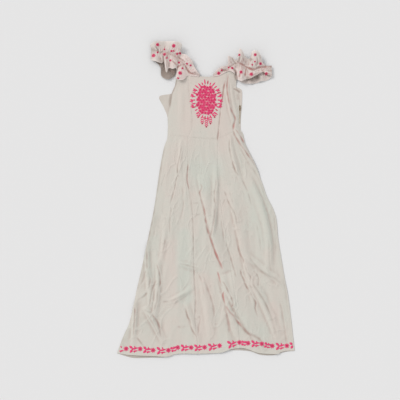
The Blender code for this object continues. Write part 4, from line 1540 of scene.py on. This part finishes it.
@dataclass
class Bodice:
    """The fitted top: centre front, two side fronts and the back."""

    gap: float = 0.04

    def build(self, room: Workroom) -> list[Object]:
        """Makes the four panels.

        Args:
            room: The dress's form, cloth and materials.

        Returns:
            The panels.
        """
        up = self.gap
        left_waist, centre_waist, right_waist = waist_parts(up)
        panels = [
            FrontPanel("bodice_front_centre", NECKLINE, centre_waist, moved(PRINCESS_LEFT, up, 0),
                       moved(PRINCESS_RIGHT, -up, 0), "bodice_back", across=58, down=116),
            FrontPanel("bodice_side_front_left", STRAP_TOP_LEFT, left_waist, SIDE_LEFT,
                       moved(PRINCESS_LEFT, -up, 0), "bodice_back", across=40, down=116,
                       dip_left=False),
            FrontPanel("bodice_side_front_right", STRAP_TOP_RIGHT, right_waist, moved(PRINCESS_RIGHT, up, 0),
                       SIDE_RIGHT, "bodice_back", across=40, down=116, dip_right=False),
        ]
        back = BackPanel("bodice_back", BACK_NECK, moved(WAIST, 0, up), BACK_LEFT, BACK_RIGHT,
                         across=90, down=90, shade=0.05)
        return [panel.build(room) for panel in (back, *panels)]


@dataclass
class Skirt:
    """The A-line skirt: three front gores and a plain back."""

    gap: float = 0.04
    hem_depth: float = 24.0

    def build(self, room: Workroom) -> list[Object]:
        """Makes the four panels.

        Args:
            room: The dress's form, cloth and materials.

        Returns:
            The panels.
        """
        down = -self.gap
        left_waist, centre_waist, right_waist = waist_parts(down)
        panels = [
            FrontPanel("skirt_front_left", left_waist, FRONT_HEM[:9], SKIRT_LEFT,
                       moved(GORE_LEFT, down, 0), "skirt_back", across=108, down=290,
                       hem_depth=self.hem_depth, dip_left=False),
            FrontPanel("skirt_front_centre", centre_waist, FRONT_HEM[8:13], moved(GORE_LEFT, -down, 0),
                       moved(GORE_RIGHT, down, 0), "skirt_back", across=66, down=290,
                       hem_depth=self.hem_depth),
            FrontPanel("skirt_front_right", right_waist, FRONT_HEM[12:], moved(GORE_RIGHT, -down, 0),
                       SKIRT_RIGHT, "skirt_back", across=84, down=290, hem_depth=self.hem_depth,
                       dip_right=False),
        ]
        # The skirt's back gets a much deeper even painted shade than the bodice's back
        back = BackPanel("skirt_back", moved(WAIST, 0, down), BACK_HEM, SKIRT_LEFT, SKIRT_RIGHT,
                         across=90, down=180, shade=0.4)
        return [panel.build(room) for panel in (back, *panels)]


@dataclass
class Ruffle:
    """One half of a ruffle sleeve: a strip gathered along its middle."""

    side: Side
    layer: Layer
    rows: list[Crest]
    gather_height: float
    flat: tuple[float, float]
    area: float
    rests_on: list[str]
    # An even share of painted shade for the strip, and a share that darkens all but its crests and rims, left
    # lighter as painted highlight
    shade: float = 0.0
    tone: float = 0.2
    steps: int = 18
    across: int = 24
    wall: float = 0.7
    follows: float = 0.25
    bulge: float = 0.95
    pleat_height: float = 1.4
    pleats_per_row: float = 2.6
    seam_depth: float = 0.9
    seam_width: float = 0.05
    lump: Wave = Wave(0.7, 14, 14)
    line_seed: int = 61
    line_depth: float = 0.7
    line_width: float = 0.17
    # Painted shade and pink painted shade in the hollows, at the gather seam and along the fine lines; crests
    # get painted highlight
    hollow_range: float = 4.5
    lit_range: float = 2.2
    hollow_shade: float = 0.22
    hollow_pink: float = 0.15
    gather_seam_shade: float = 0.4
    line_shade: float = 0.12
    line_pink: float = 0.62
    back_line_pink: float = 0.1
    # The gather seam's painted shade is strongest near the neckline
    neck_middle: float = 20.0
    neck_reach: float = 120.0
    neck_ease: float = 60.0
    extra_warmth: float = 0.15

    @property
    def node(self) -> str:
        """Name of the construction solid that the strip stands for."""
        return f"sleeve_{self.side.value}_{self.layer.value}_ruffle"

    def sections(self) -> np.ndarray:
        """Smooth table of sections: gather, upper edge and lower edge, each a point.

        Returns:
            The table, nine numbers a row.
        """
        table = np.array([[*row.gather, *row.upper, row.upper_height, *row.lower, row.lower_height]
                          for row in self.rows])
        lift = self.follows * ((table[:, 4] + table[:, 7]) / 2 - self.gather_height)
        gather_z = self.gather_height + np.clip(lift, 0, None)
        return spline(np.column_stack([table[:, :2], gather_z, table[:, 2:]]), self.steps)

    def points(self) -> tuple[np.ndarray, np.ndarray]:
        """Grid of drawing points with heights, and each point's share from gather to edge.

        Returns:
            The grid, rows along the strip, and the shares.
        """
        rows = self.sections()
        gather, upper, lower = rows[:, None, 0:3], rows[:, None, 3:6], rows[:, None, 6:9]
        t = np.linspace(0, 1, self.across + 1)[None, :, None]
        halves = []
        for edge, share in ((upper, t), (lower, t[:, ::-1])):
            middle = (edge + gather) / 2
            middle[..., 2] = gather[..., 2] + (edge[..., 2] - gather[..., 2]) * self.bulge
            halves.append((1 - share) ** 2 * edge + 2 * share * (1 - share) * middle + share ** 2 * gather)
        grid = np.concatenate([halves[0], halves[1][:, 1:]], axis=1)
        reach = np.abs(np.linspace(-1, 1, grid.shape[1]))[None, :]
        return grid, np.broadcast_to(reach, grid.shape[:2])

    def run_along(self, grid: np.ndarray) -> np.ndarray:
        """Place of each section along the strip, counted in rows of its table."""
        return np.arange(grid.shape[0])[:, None] / self.steps

    def fine_lines(self, run: np.ndarray, reach: np.ndarray) -> np.ndarray:
        """Marks the thin uneven lines that fan out from the gather.

        Args:
            run: Each section's place along the strip.
            reach: Each point's share from gather to edge.

        Returns:
            How strong the lines are, from 0 to 1.
        """
        noise = Noise(self.line_seed)(run * 2.6, reach * 1.7)
        lines = np.clip(1 - np.abs(noise) / self.line_width, 0, 1)
        return lines * np.exp(-(reach / 0.85) ** 4) * smooth_step(run - 0.6)

    def surface(self, form: DressForm, grid: np.ndarray, reach: np.ndarray, lines: np.ndarray) -> np.ndarray:
        """Shapes the strip's upper face with pleats at the gather, lumps and fine lines.

        Args:
            form: Holds the noises.
            grid: The strip's drawing points with their heights.
            reach: Each point's share of the way from the gather to the edge.
            lines: How deep the fine lines are at each point.

        Returns:
            The height of each point.
        """
        run = self.run_along(grid)
        shift = 0.35 * form.noises[2](run * 1.7, reach * 0.8 + 3)
        pleats = 1 - 2 * np.abs(np.sin(math.pi * (self.pleats_per_row * run + shift)))
        near_gather = np.exp(-((reach - 0.06) / 0.36) ** 2) * smooth_step(reach * 9)
        height = grid[..., 2] + self.pleat_height * near_gather * pleats
        height = height - self.seam_depth * np.exp(-(reach / self.seam_width) ** 2)
        lumps = form.noises[3](grid[..., 0] / self.lump.across, grid[..., 1] / self.lump.down)
        return height + self.lump.height * lumps * reach - self.line_depth * lines

    def build(self, room: Workroom) -> Object:
        """Makes the strip with its small gathers and its uneven surface.

        Args:
            room: The dress's form, cloth and materials.

        Returns:
            The strip.
        """
        grid, reach = self.points()
        x, y = grid[..., 0], grid[..., 1]
        lines = self.fine_lines(self.run_along(grid), reach)
        height = self.surface(room.form, grid, reach, lines)
        rise, shade, pink = crease_effects(RUFFLE_CREASES, x, y)
        if self.layer is Layer.FRONT:
            height = height + rise
        height = np.maximum(height, self.wall + 0.05)
        mesh = grid_mesh(self.node, np.stack(to_world(x, y, height), axis=-1))
        # Painted shade in the hollows, at the seam and along the lines, and painted highlight on the crests
        # and rims
        around = box_blur(height, reach=6)
        hollow = np.clip((around - height) / self.hollow_range, 0, 1)
        lit = np.maximum(np.clip((height - around) / self.lit_range, 0, 1), smooth_step((reach - 0.88) / 0.1))
        inner = smooth_step((self.neck_reach - np.abs(x - self.neck_middle)) / self.neck_ease)
        seam = np.exp(-(reach / self.seam_width) ** 2) * (0.25 + 0.5 * inner)
        dark = self.shade + self.tone * (1 - lit) + self.hollow_shade * hollow + shade
        dark = dark + self.gather_seam_shade * seam + self.line_shade * lines
        line_pink = self.line_pink if self.layer is Layer.FRONT else self.back_line_pink
        pink_shade = pink + self.hollow_pink * hollow + self.gather_seam_shade * seam + line_pink * lines
        mark_cloth(mesh, dark, pink_shade, warmth_at(x, y) + self.extra_warmth)
        room.cloth.add(self.node, mesh)
        strip = sew_sheet(self.node, mesh, room.materials.ruffle, self.wall)
        return strip


@dataclass
class Sleeves:
    """The two ruffle sleeves, each a back half and a front half."""

    front_gather: float = 11.0
    back_gather: float = 3.0

    def strips(self) -> list[Ruffle]:
        """Lists the four strips.

        Returns:
            The back strips and then the front strips.
        """
        return [
            # The back strips get an even painted shade, the left one far more than the right
            Ruffle(Side.LEFT, Layer.BACK, BACK_RUFFLE_LEFT, self.back_gather, (0.17, 0.10), 0.0115, [],
                   shade=0.78),
            Ruffle(Side.RIGHT, Layer.BACK, BACK_RUFFLE_RIGHT, self.back_gather, (0.165, 0.08), 0.0115, [],
                   shade=0.1),
            Ruffle(Side.LEFT, Layer.FRONT, FRONT_RUFFLE_LEFT, self.front_gather, (0.345, 0.14), 0.0245,
                   ["sleeve_left_back_ruffle", "bodice_side_front_left"]),
            Ruffle(Side.RIGHT, Layer.FRONT, FRONT_RUFFLE_RIGHT, self.front_gather, (0.39, 0.14), 0.0225,
                   ["sleeve_right_back_ruffle", "bodice_side_front_right"]),
        ]

    def build(self, room: Workroom) -> list[Object]:
        """Makes the four strips."""
        return [strip.build(room) for strip in self.strips()]


class Petal(NamedTuple):
    """One satin-stitched shape: a lens from its base along its angle, in millimetres."""

    x: float
    y: float
    length: float
    width: float
    angle: float
    raised: float = 0.8


class Needlework:
    """Builds satin-stitched petals as one mesh that follows the cloth."""

    ROUNDNESS = 0.65
    BLUNT_END = 0.02
    FULL_DOME_WIDTH = 0.8
    CLEARANCE = 0.05
    WALL = 0.25

    def __init__(self, cloth: Cloth, sheets: Sequence[str], along: int = 6, half: int = 2) -> None:
        """Keeps the cloth to sew on.

        Args:
            cloth: The cloth's upper faces.
            sheets: The sheets to sew on.
            along: Cells along a petal.
            half: Cells from a petal's middle to its side.
        """
        self.cloth = cloth
        self.sheets = sheets
        self.along = along
        self.half = half
        self.points: list[tuple[float, float, float]] = []
        self.faces: list[tuple[int, ...]] = []
        self.runs: list[float] = []

    def add(self, petal: Petal) -> None:
        """Adds one petal, if all of it lies on the cloth.

        Args:
            petal: The petal.
        """
        cos, sin = math.cos(petal.angle), math.sin(petal.angle)
        rows = []
        for i in range(self.along + 1):
            share = i / self.along
            inside = min(max(share, self.BLUNT_END), 1 - self.BLUNT_END)
            width = petal.width / 2 * (math.sin(math.pi * inside) ** self.ROUNDNESS)
            row = []
            for j in range(-self.half, self.half + 1):
                side = j / self.half
                run = petal.length * share
                off = width * side
                x = petal.x + run * cos - off * sin
                y = petal.y + run * sin + off * cos
                hit = self.cloth.drop(x, y, self.sheets)
                if hit is None:
                    return
                fullness = min(1.0, width / self.FULL_DOME_WIDTH)
                dome = petal.raised * math.sqrt(max(1 - side * side, 0)) * fullness
                row.append((*(hit[0] + hit[1] * (dome + self.CLEARANCE) * MM), run * MM))
            rows.append(row)
        first = len(self.points)
        columns = 2 * self.half + 1
        for row in rows:
            for x, y, z, run in row:
                self.points.append((x, y, z))
                self.runs.append(run)
        for i in range(self.along):
            for j in range(columns - 1):
                a = first + i * columns + j
                self.faces.append((a, a + columns, a + columns + 1, a + 1))

    def finish(self, name: str, material: Material, slot: str) -> Object:
        """Makes the mesh of all petals and sews it to the dress.

        Args:
            name: The piece's name.
            material: The thread.
            slot: Not used.

        Returns:
            The piece.
        """
        mesh = bpy.data.meshes.new(name)
        mesh.from_pydata(self.points, [], self.faces)
        mesh.update()
        set_attribute(mesh, "thread_run", np.array(self.runs))
        shape = bmesh.new()
        shape.from_mesh(mesh)
        for face in shape.faces:
            face.normal_update()
            if face.normal.z < 0:
                face.normal_flip()
        shape.to_mesh(mesh)
        shape.free()
        piece = add_object(name, mesh, material)
        give_wall(piece, self.WALL)
        sew_to_dress(piece)
        return piece


# Petals of a round flower, in shares of its radius: how full they are, where they start and how long they are
PETAL_FULLNESS = 0.62
PETAL_START = 0.12
PETAL_LENGTH = 0.9


def rosette(x: float, y: float, width: float, petals: int, turn: float, raised: float = 0.9) -> list[Petal]:
    """Round flower of petals about a centre.

    Args:
        x: The centre's place across.
        y: Its place up.
        width: The flower's width.
        petals: How many petals it has.
        turn: The first petal's angle.
        raised: How far the petals stand up.

    Returns:
        The petals.
    """
    reach = width / 2
    start = PETAL_START * reach
    thick = 2 * math.pi * reach * PETAL_FULLNESS / petals
    angles = [turn + 2 * math.pi * i / petals for i in range(petals)]
    return [Petal(x + start * math.cos(angle), y + start * math.sin(angle), PETAL_LENGTH * reach, thick,
                  angle, raised) for angle in angles]


class TwoThreads:
    """Embroidery in two threads on the same sheets: light petals and deep hearts."""

    def __init__(self, cloth: Cloth, sheets: Sequence[str]) -> None:
        """Starts both threads' work."""
        self.light = Needlework(cloth, sheets)
        self.deep = Needlework(cloth, sheets)

    def add_flower(self, flower: Iterable[Petal], heart: Iterable[Petal]) -> None:
        """Adds a flower with its heart.

        Args:
            flower: The light petals.
            heart: The deep petals.
        """
        for petal in flower:
            self.light.add(petal)
        for petal in heart:
            self.deep.add(petal)

    def finish(self, light_name: str, deep_name: str, materials: Materials, slot: str) -> list[Object]:
        """Makes the two threads' pieces and sews them to the dress."""
        return [self.light.finish(light_name, materials.thread, slot),
                self.deep.finish(deep_name, materials.deep_thread, slot)]


@dataclass
class BodiceEmbroidery:
    """A generic bouquet on the bodice: packed blossoms in an oval, leaves and tassels of buds."""

    centre: Point = (1.0, 166.0)
    reach: Point = (46.0, 67.0)
    pitch: float = 13.0
    jitter: float = 1.8
    heart_raised: float = 1.5
    leaves: int = 30
    leaf_lengths: tuple[float, ...] = (13.0, 18.0, 23.0)
    leaf_width: float = 6.2
    leaf_gap: float = 2.0
    spray_gap: Point = (13.0, 6.0)
    spray_droop: float = 0.35
    spray_leaves: tuple[Point, ...] = ((-0.7, 13.0), (0.0, 16.0), (0.7, 13.0))
    spray_leaf_width: float = 6.0
    tassel_gap: float = 12.0
    bud: Point = (10.5, 5.4)
    bud_lean: float = 0.8
    bud_pitch: float = 9.0
    tassels: tuple[tuple[float, int], ...] = ((-36, 2), (-18, 3), (0, 4), (18, 3), (36, 2))
    sprays: tuple[float, ...] = (0.62, 0.30, -0.02, -0.34)

    def build(self, room: Workroom) -> list[Object]:
        """Sews the bouquet.

        Args:
            room: The dress's form, cloth and materials.

        Returns:
            The two threads' pieces.
        """
        sheets = ("bodice_front_centre", "bodice_side_front_left", "bodice_side_front_right")
        work = TwoThreads(room.cloth, sheets)
        self.add_blossoms(work)
        self.add_leaves(work)
        self.add_tassels(work)
        return work.finish("bodice_blossoms", "bodice_blossom_hearts", room.materials, "ivory_cotton")

    def add_blossoms(self, work: TwoThreads) -> None:
        """Packs the oval with blossoms in staggered rows.

        Args:
            work: Takes the petals.
        """
        step = self.pitch * math.sqrt(3) / 2
        rows = int(self.reach[1] / step) + 1
        columns = int(self.reach[0] / self.pitch) + 1
        for row in range(-rows, rows + 1):
            for column in range(-columns, columns + 1):
                across = (column + 0.5 * (row % 2)) * self.pitch
                up = row * step
                if (across / self.reach[0]) ** 2 + (up / self.reach[1]) ** 2 > 1:
                    continue
                turn = 0.7 * row + 1.9 * column
                x = self.centre[0] + across + self.jitter * math.sin(3.1 * turn)
                y = self.centre[1] + up + self.jitter * math.cos(4.3 * turn)
                flower = self.pitch * (1.28 + 0.16 * math.sin(5 * turn))
                heart = self.pitch * (0.36 + 0.14 * math.sin(2.3 * turn))
                work.add_flower(rosette(x, y, flower, 6, turn),
                                rosette(x, y, heart, 5, turn + 0.3, self.heart_raised))

    def add_leaves(self, work: TwoThreads) -> None:
        """Adds the ring of leaves round the oval and short sprays at its sides.

        Args:
            work: Takes the petals.
        """
        for i in range(self.leaves):
            turn = 2 * math.pi * i / self.leaves
            cos, sin = math.cos(turn), math.sin(turn)
            x = self.centre[0] + (self.reach[0] + self.leaf_gap) * cos
            y = self.centre[1] + (self.reach[1] + self.leaf_gap) * sin
            out = math.atan2(sin / self.reach[1], cos / self.reach[0])
            thread = work.deep if i % 5 == 2 else work.light
            thread.add(Petal(x, y, self.leaf_lengths[i % 3], self.leaf_width, out))
        for side in (-1, 1):
            for share in self.sprays:
                x = self.centre[0] + side * (self.reach[0] + self.spray_gap[0]) * math.sqrt(1 - share ** 2)
                y = self.centre[1] + (self.reach[1] + self.spray_gap[1]) * share
                aim = math.pi / 2 - side * (math.pi / 2 + self.spray_droop)
                for lean, length in self.spray_leaves:
                    work.light.add(Petal(x, y, length, self.spray_leaf_width, aim + lean))

    def add_tassels(self, work: TwoThreads) -> None:
        """Adds the chains of buds that hang from the oval.

        Args:
            work: Takes the petals.
        """
        for across, count in self.tassels:
            depth = math.sqrt(1 - (across / (self.reach[0] + 4)) ** 2)
            x, y = self.centre[0] + across, self.centre[1] - (self.reach[1] + self.tassel_gap) * depth
            for _ in range(count):
                for lean in (self.bud_lean, -self.bud_lean):
                    work.light.add(Petal(x, y, *self.bud, -math.pi / 2 + lean))
                y -= self.bud_pitch
            work.add_flower([], rosette(x, y - 2, self.bud_pitch, 6, 0.0))


class Leaf(NamedTuple):
    """A leaf of the border: its base from the flower, its length, width and turn in degrees."""

    along: float
    up: float
    length: float
    width: float
    turn: float


# The leaves to the left of each flower of the border
BORDER_LEAVES = [
    Leaf(-9, 5, 27, 9.0, 194),
    Leaf(-10, -8, 21, 7.0, 187),
    Leaf(-31, 1, 17, 11.5, 140),
    Leaf(-31, -3, 17, 11.5, 229),
    Leaf(-20, 3, 10, 6.0, 112),
    Leaf(-21, -7, 10, 6.0, 248),
]

# Where the border's flowers lie on the drawing
BORDER_FLOWERS = [(-352, -927), (-290, -927), (-233, -933), (-166, -933), (-125, -921), (-66, -921),
                  (-7, -920), (59, -913), (146, -899), (184, -902), (244, -904), (290, -914), (355, -914),
                  (409, -905)]


@dataclass
class HemBorder:
    """The border above the hem: a flower with a sprig of six leaves, again and again."""

    flower: float = 23.0
    heart_share: float = 0.36
    heart_raised: float = 1.4
    pitch: float = 58.0
    most_stretch: float = 1.2

    def build(self, room: Workroom) -> list[Object]:
        """Sews the border from side to side.

        Args:
            room: The dress's form, cloth and materials.

        Returns:
            The two threads' pieces.
        """
        sheets = ("skirt_front_left", "skirt_front_centre", "skirt_front_right")
        work = TwoThreads(room.cloth, sheets)
        before = (BORDER_FLOWERS[0][0] - self.pitch, BORDER_FLOWERS[0][1])
        for place in BORDER_FLOWERS:
            slope = math.atan2(place[1] - before[1], place[0] - before[0])
            stretch = min(self.most_stretch, (place[0] - before[0]) / self.pitch)
            self.add_motif(work, place, slope, stretch)
            before = place
        return work.finish("hem_border_sprigs", "hem_border_hearts", room.materials, "ivory_cotton")

    def add_motif(self, work: TwoThreads, place: Point, slope: float, stretch: float) -> None:
        """Adds one flower with its sprig, drawn together where there is less room.

        Args:
            work: Takes the petals.
            place: The flower's centre.
            slope: The hem's slope there.
            stretch: How long the sprig is, 1 being its usual length.
        """
        x, y = place
        heart = self.flower * self.heart_share
        work.add_flower(rosette(x, y, self.flower, 8, slope),
                        rosette(x, y, heart, 6, slope + 0.4, self.heart_raised))
        cos, sin = math.cos(slope), math.sin(slope)
        for leaf in BORDER_LEAVES:
            along = leaf.along * stretch
            foot = (x + along * cos - leaf.up * sin, y + along * sin + leaf.up * cos)
            aim = slope + math.radians(leaf.turn)
            work.light.add(Petal(*foot, leaf.length * stretch, leaf.width, aim))


@dataclass
class RuffleDots:
    """The embroidered dots of the ruffles."""

    sunk: float = 4.0
    flower_share: float = 1.25
    heart_share: float = 0.85
    heart_raised: float = 1.4

    def build(self, room: Workroom) -> list[Object]:
        """Sews every dot as a small flower on the front strips.

        Args:
            room: The dress's form, cloth and materials.

        Returns:
            The two threads' pieces of both sleeves.
        """
        pieces = []
        for side, dots in ((Side.LEFT, DOTS_LEFT), (Side.RIGHT, DOTS_RIGHT)):
            sheets = (f"sleeve_{side.value}_front_ruffle", f"sleeve_{side.value}_back_ruffle")
            work = TwoThreads(room.cloth, sheets)
            for number, ((x, y), width) in enumerate(dots):
                y -= self.sunk
                heart = width * self.heart_share
                work.add_flower(rosette(x, y, width * self.flower_share, 7, 0.9 * number),
                                rosette(x, y, heart, 6, 0.4 + number, self.heart_raised))
            dots_name = f"{side.value}_ruffle_dot"
            pieces += work.finish(f"{dots_name}s", f"{dots_name}_hearts", room.materials, "ruffle_cotton")
        return pieces


@dataclass
class Stitching:
    """Rows of sewing stitches on the hem, the neckline and the gathers."""

    pitch: float = 3.4
    length: float = 2.4
    width: float = 0.55
    raised: float = 0.25
    hem_turning: float = 21.0
    neck_turning: float = 4.0

    def sew(self, room: Workroom, name: str, line: np.ndarray, sheets: Sequence[str], slot: str) -> Object:
        """Sews a row of stitches along a line of drawing points.

        Args:
            room: The dress's form, cloth and materials.
            name: The row's name.
            line: The points in order.
            sheets: The sheets to sew on.
            slot: The slot name, passed on to the needlework.

        Returns:
            The row.
        """
        work = Needlework(room.cloth, sheets, along=3, half=1)
        reach = np.concatenate([[0], np.cumsum(np.linalg.norm(np.diff(line, axis=0), axis=1))])
        for start in np.arange(self.pitch / 2, reach[-1] - self.length, self.pitch):
            x, y = (np.interp(start, reach, line[:, k]) for k in (0, 1))
            far_x, far_y = (np.interp(start + self.length, reach, line[:, k]) for k in (0, 1))
            aim = math.atan2(far_y - y, far_x - x)
            work.add(Petal(float(x), float(y), self.length, self.width, aim, self.raised))
        return work.finish(name, room.materials.sewing, slot)

    def build(self, room: Workroom, sleeves: Sleeves) -> list[Object]:
        """Sews the rows.

        Args:
            room: The dress's form, cloth and materials.
            sleeves: The sleeves, whose gathers are sewn.

        Returns:
            The rows.
        """
        skirt = ("skirt_front_left", "skirt_front_centre", "skirt_front_right")
        hem = curve_at(FRONT_HEM, np.linspace(0.004, 0.996, 400)) + np.array([0, self.hem_turning])
        neck = curve_at(NECKLINE, np.linspace(0.18, 0.78, 60)) - np.array([0, self.neck_turning])
        pieces = [
            self.sew(room, "hem_stitches", hem, skirt, "ivory_cotton"),
            self.sew(room, "neckline_stitches", neck, ("bodice_front_centre",), "ivory_cotton"),
        ]
        for strip in sleeves.strips():
            if strip.layer is Layer.FRONT:
                gather = strip.sections()[:, 0:2]
                name = f"{strip.side.value}_gather_stitches"
                pieces.append(self.sew(room, name, gather, (strip.node,), "ruffle_cotton"))
        return pieces


@dataclass
class SideZip:
    """The zip in the side seam: its ribbed tape and the finish of its slider and pull tab."""

    tape_width: float = 4.6
    tape_height: float = 2.15
    wall: float = 0.7
    ribs: int = 5
    rib_height: float = 0.12

    def build(self, materials: Materials) -> list[Object]:
        """Makes the tape and finishes the metal pieces.

        Args:
            materials: The dress's materials.

        Returns:
            The tape, in a list.
        """
        for node in ("zip_slider", "zip_pull"):
            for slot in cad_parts[node].material_slots:
                slot.material = materials.metal
        line = curve_at(ZIP_LINE, np.linspace(0, 1, 60))
        across = np.linspace(-0.5, 0.5, 13) * self.tape_width
        ribs = self.rib_height * np.cos(across / self.tape_width * 2 * math.pi * self.ribs)
        x = line[:, 0:1] + across[None, :]
        y = np.broadcast_to(line[:, 1:2], x.shape)
        z = self.tape_height + np.broadcast_to(ribs, x.shape)
        mesh = grid_mesh("zip_tape", np.stack(to_world(x, y, z), axis=-1))
        tape = sew_sheet("zip_tape", mesh, materials.tape, self.wall)
        return [tape]


@dataclass
class Studio:
    """The floor, the light and the camera straight above the dress."""

    millimetres_per_pixel: float = 4.4
    image_pixels: int = 400
    centre_pixel: tuple[float, float] = (205.8, 199.65)
    camera_height: float = 4.2
    sensor: float = 36.0
    world_strength: float = 0.82
    sun_strength: float = 1.40
    sun_angle: float = 20.0
    sun_from: tuple[float, float, float] = (-0.62, 0.48, 0.62)
    sun_colour: Colour = (1.0, 0.985, 0.965)
    floor_reach: float = 4000.0
    floor_height: float = -0.2

    def build(self) -> None:
        """Makes the floor, the lights and the camera."""
        self.floor()
        self.lights()
        self.camera()
        bpy.context.scene.view_settings.view_transform = "Standard"

    def floor(self) -> None:
        """Lays the pale floor."""
        shares = np.linspace(-1, 1, 5)
        x, y = np.meshgrid(shares * self.floor_reach, -shares * self.floor_reach)
        mesh = grid_mesh("floor", np.stack([x, y, np.full(x.shape, self.floor_height)], axis=-1) * MM)
        add_object("studio_floor", mesh, FloorFinish().material())

    def lights(self) -> None:
        """Hangs a broad soft light to the upper left and fills the rest from all round."""
        world = bpy.data.worlds.new("studio")
        world.use_nodes = True
        background = world.node_tree.nodes["Background"].inputs
        background["Color"].default_value = (1, 1, 1, 1)
        background["Strength"].default_value = self.world_strength
        bpy.context.scene.world = world
        sun = bpy.data.lights.new("soft_key", "SUN")
        sun.energy = self.sun_strength
        sun.angle = math.radians(self.sun_angle)
        sun.color = self.sun_colour
        lamp = bpy.data.objects.new("soft_key", sun)
        lamp.rotation_mode = "QUATERNION"
        lamp.rotation_quaternion = Vector(self.sun_from).to_track_quat("Z", "Y")
        bpy.context.scene.collection.objects.link(lamp)

    def camera(self) -> None:
        """Sets the camera straight above, framed as the photo is."""
        width = self.millimetres_per_pixel * self.image_pixels * MM
        data = bpy.data.cameras.new("camera")
        data.sensor_width = self.sensor
        data.lens = self.sensor * self.camera_height / width
        data.clip_end = 50
        eye = bpy.data.objects.new("camera", data)
        middle = self.image_pixels / 2
        pixel = self.millimetres_per_pixel * MM
        eye.location = ((middle - self.centre_pixel[0]) * pixel, (self.centre_pixel[1] - middle) * pixel,
                        self.camera_height)
        bpy.context.scene.collection.objects.link(eye)
        bpy.context.scene.camera = eye


def main() -> None:
    """Builds the dress piece by piece and reports each."""
    room = Workroom()
    sleeves = Sleeves()
    pieces = []
    for part in (Bodice(), Skirt(), sleeves, BodiceEmbroidery(), HemBorder(), RuffleDots()):
        pieces += part.build(room)
    pieces += Stitching().build(room, sleeves)
    pieces += SideZip().build(room.materials)
    for piece in pieces:
        log.info("%s: %d faces", piece.name, len(piece.data.polygons))
    Studio().build()


if __name__ == "__main__":
    main()
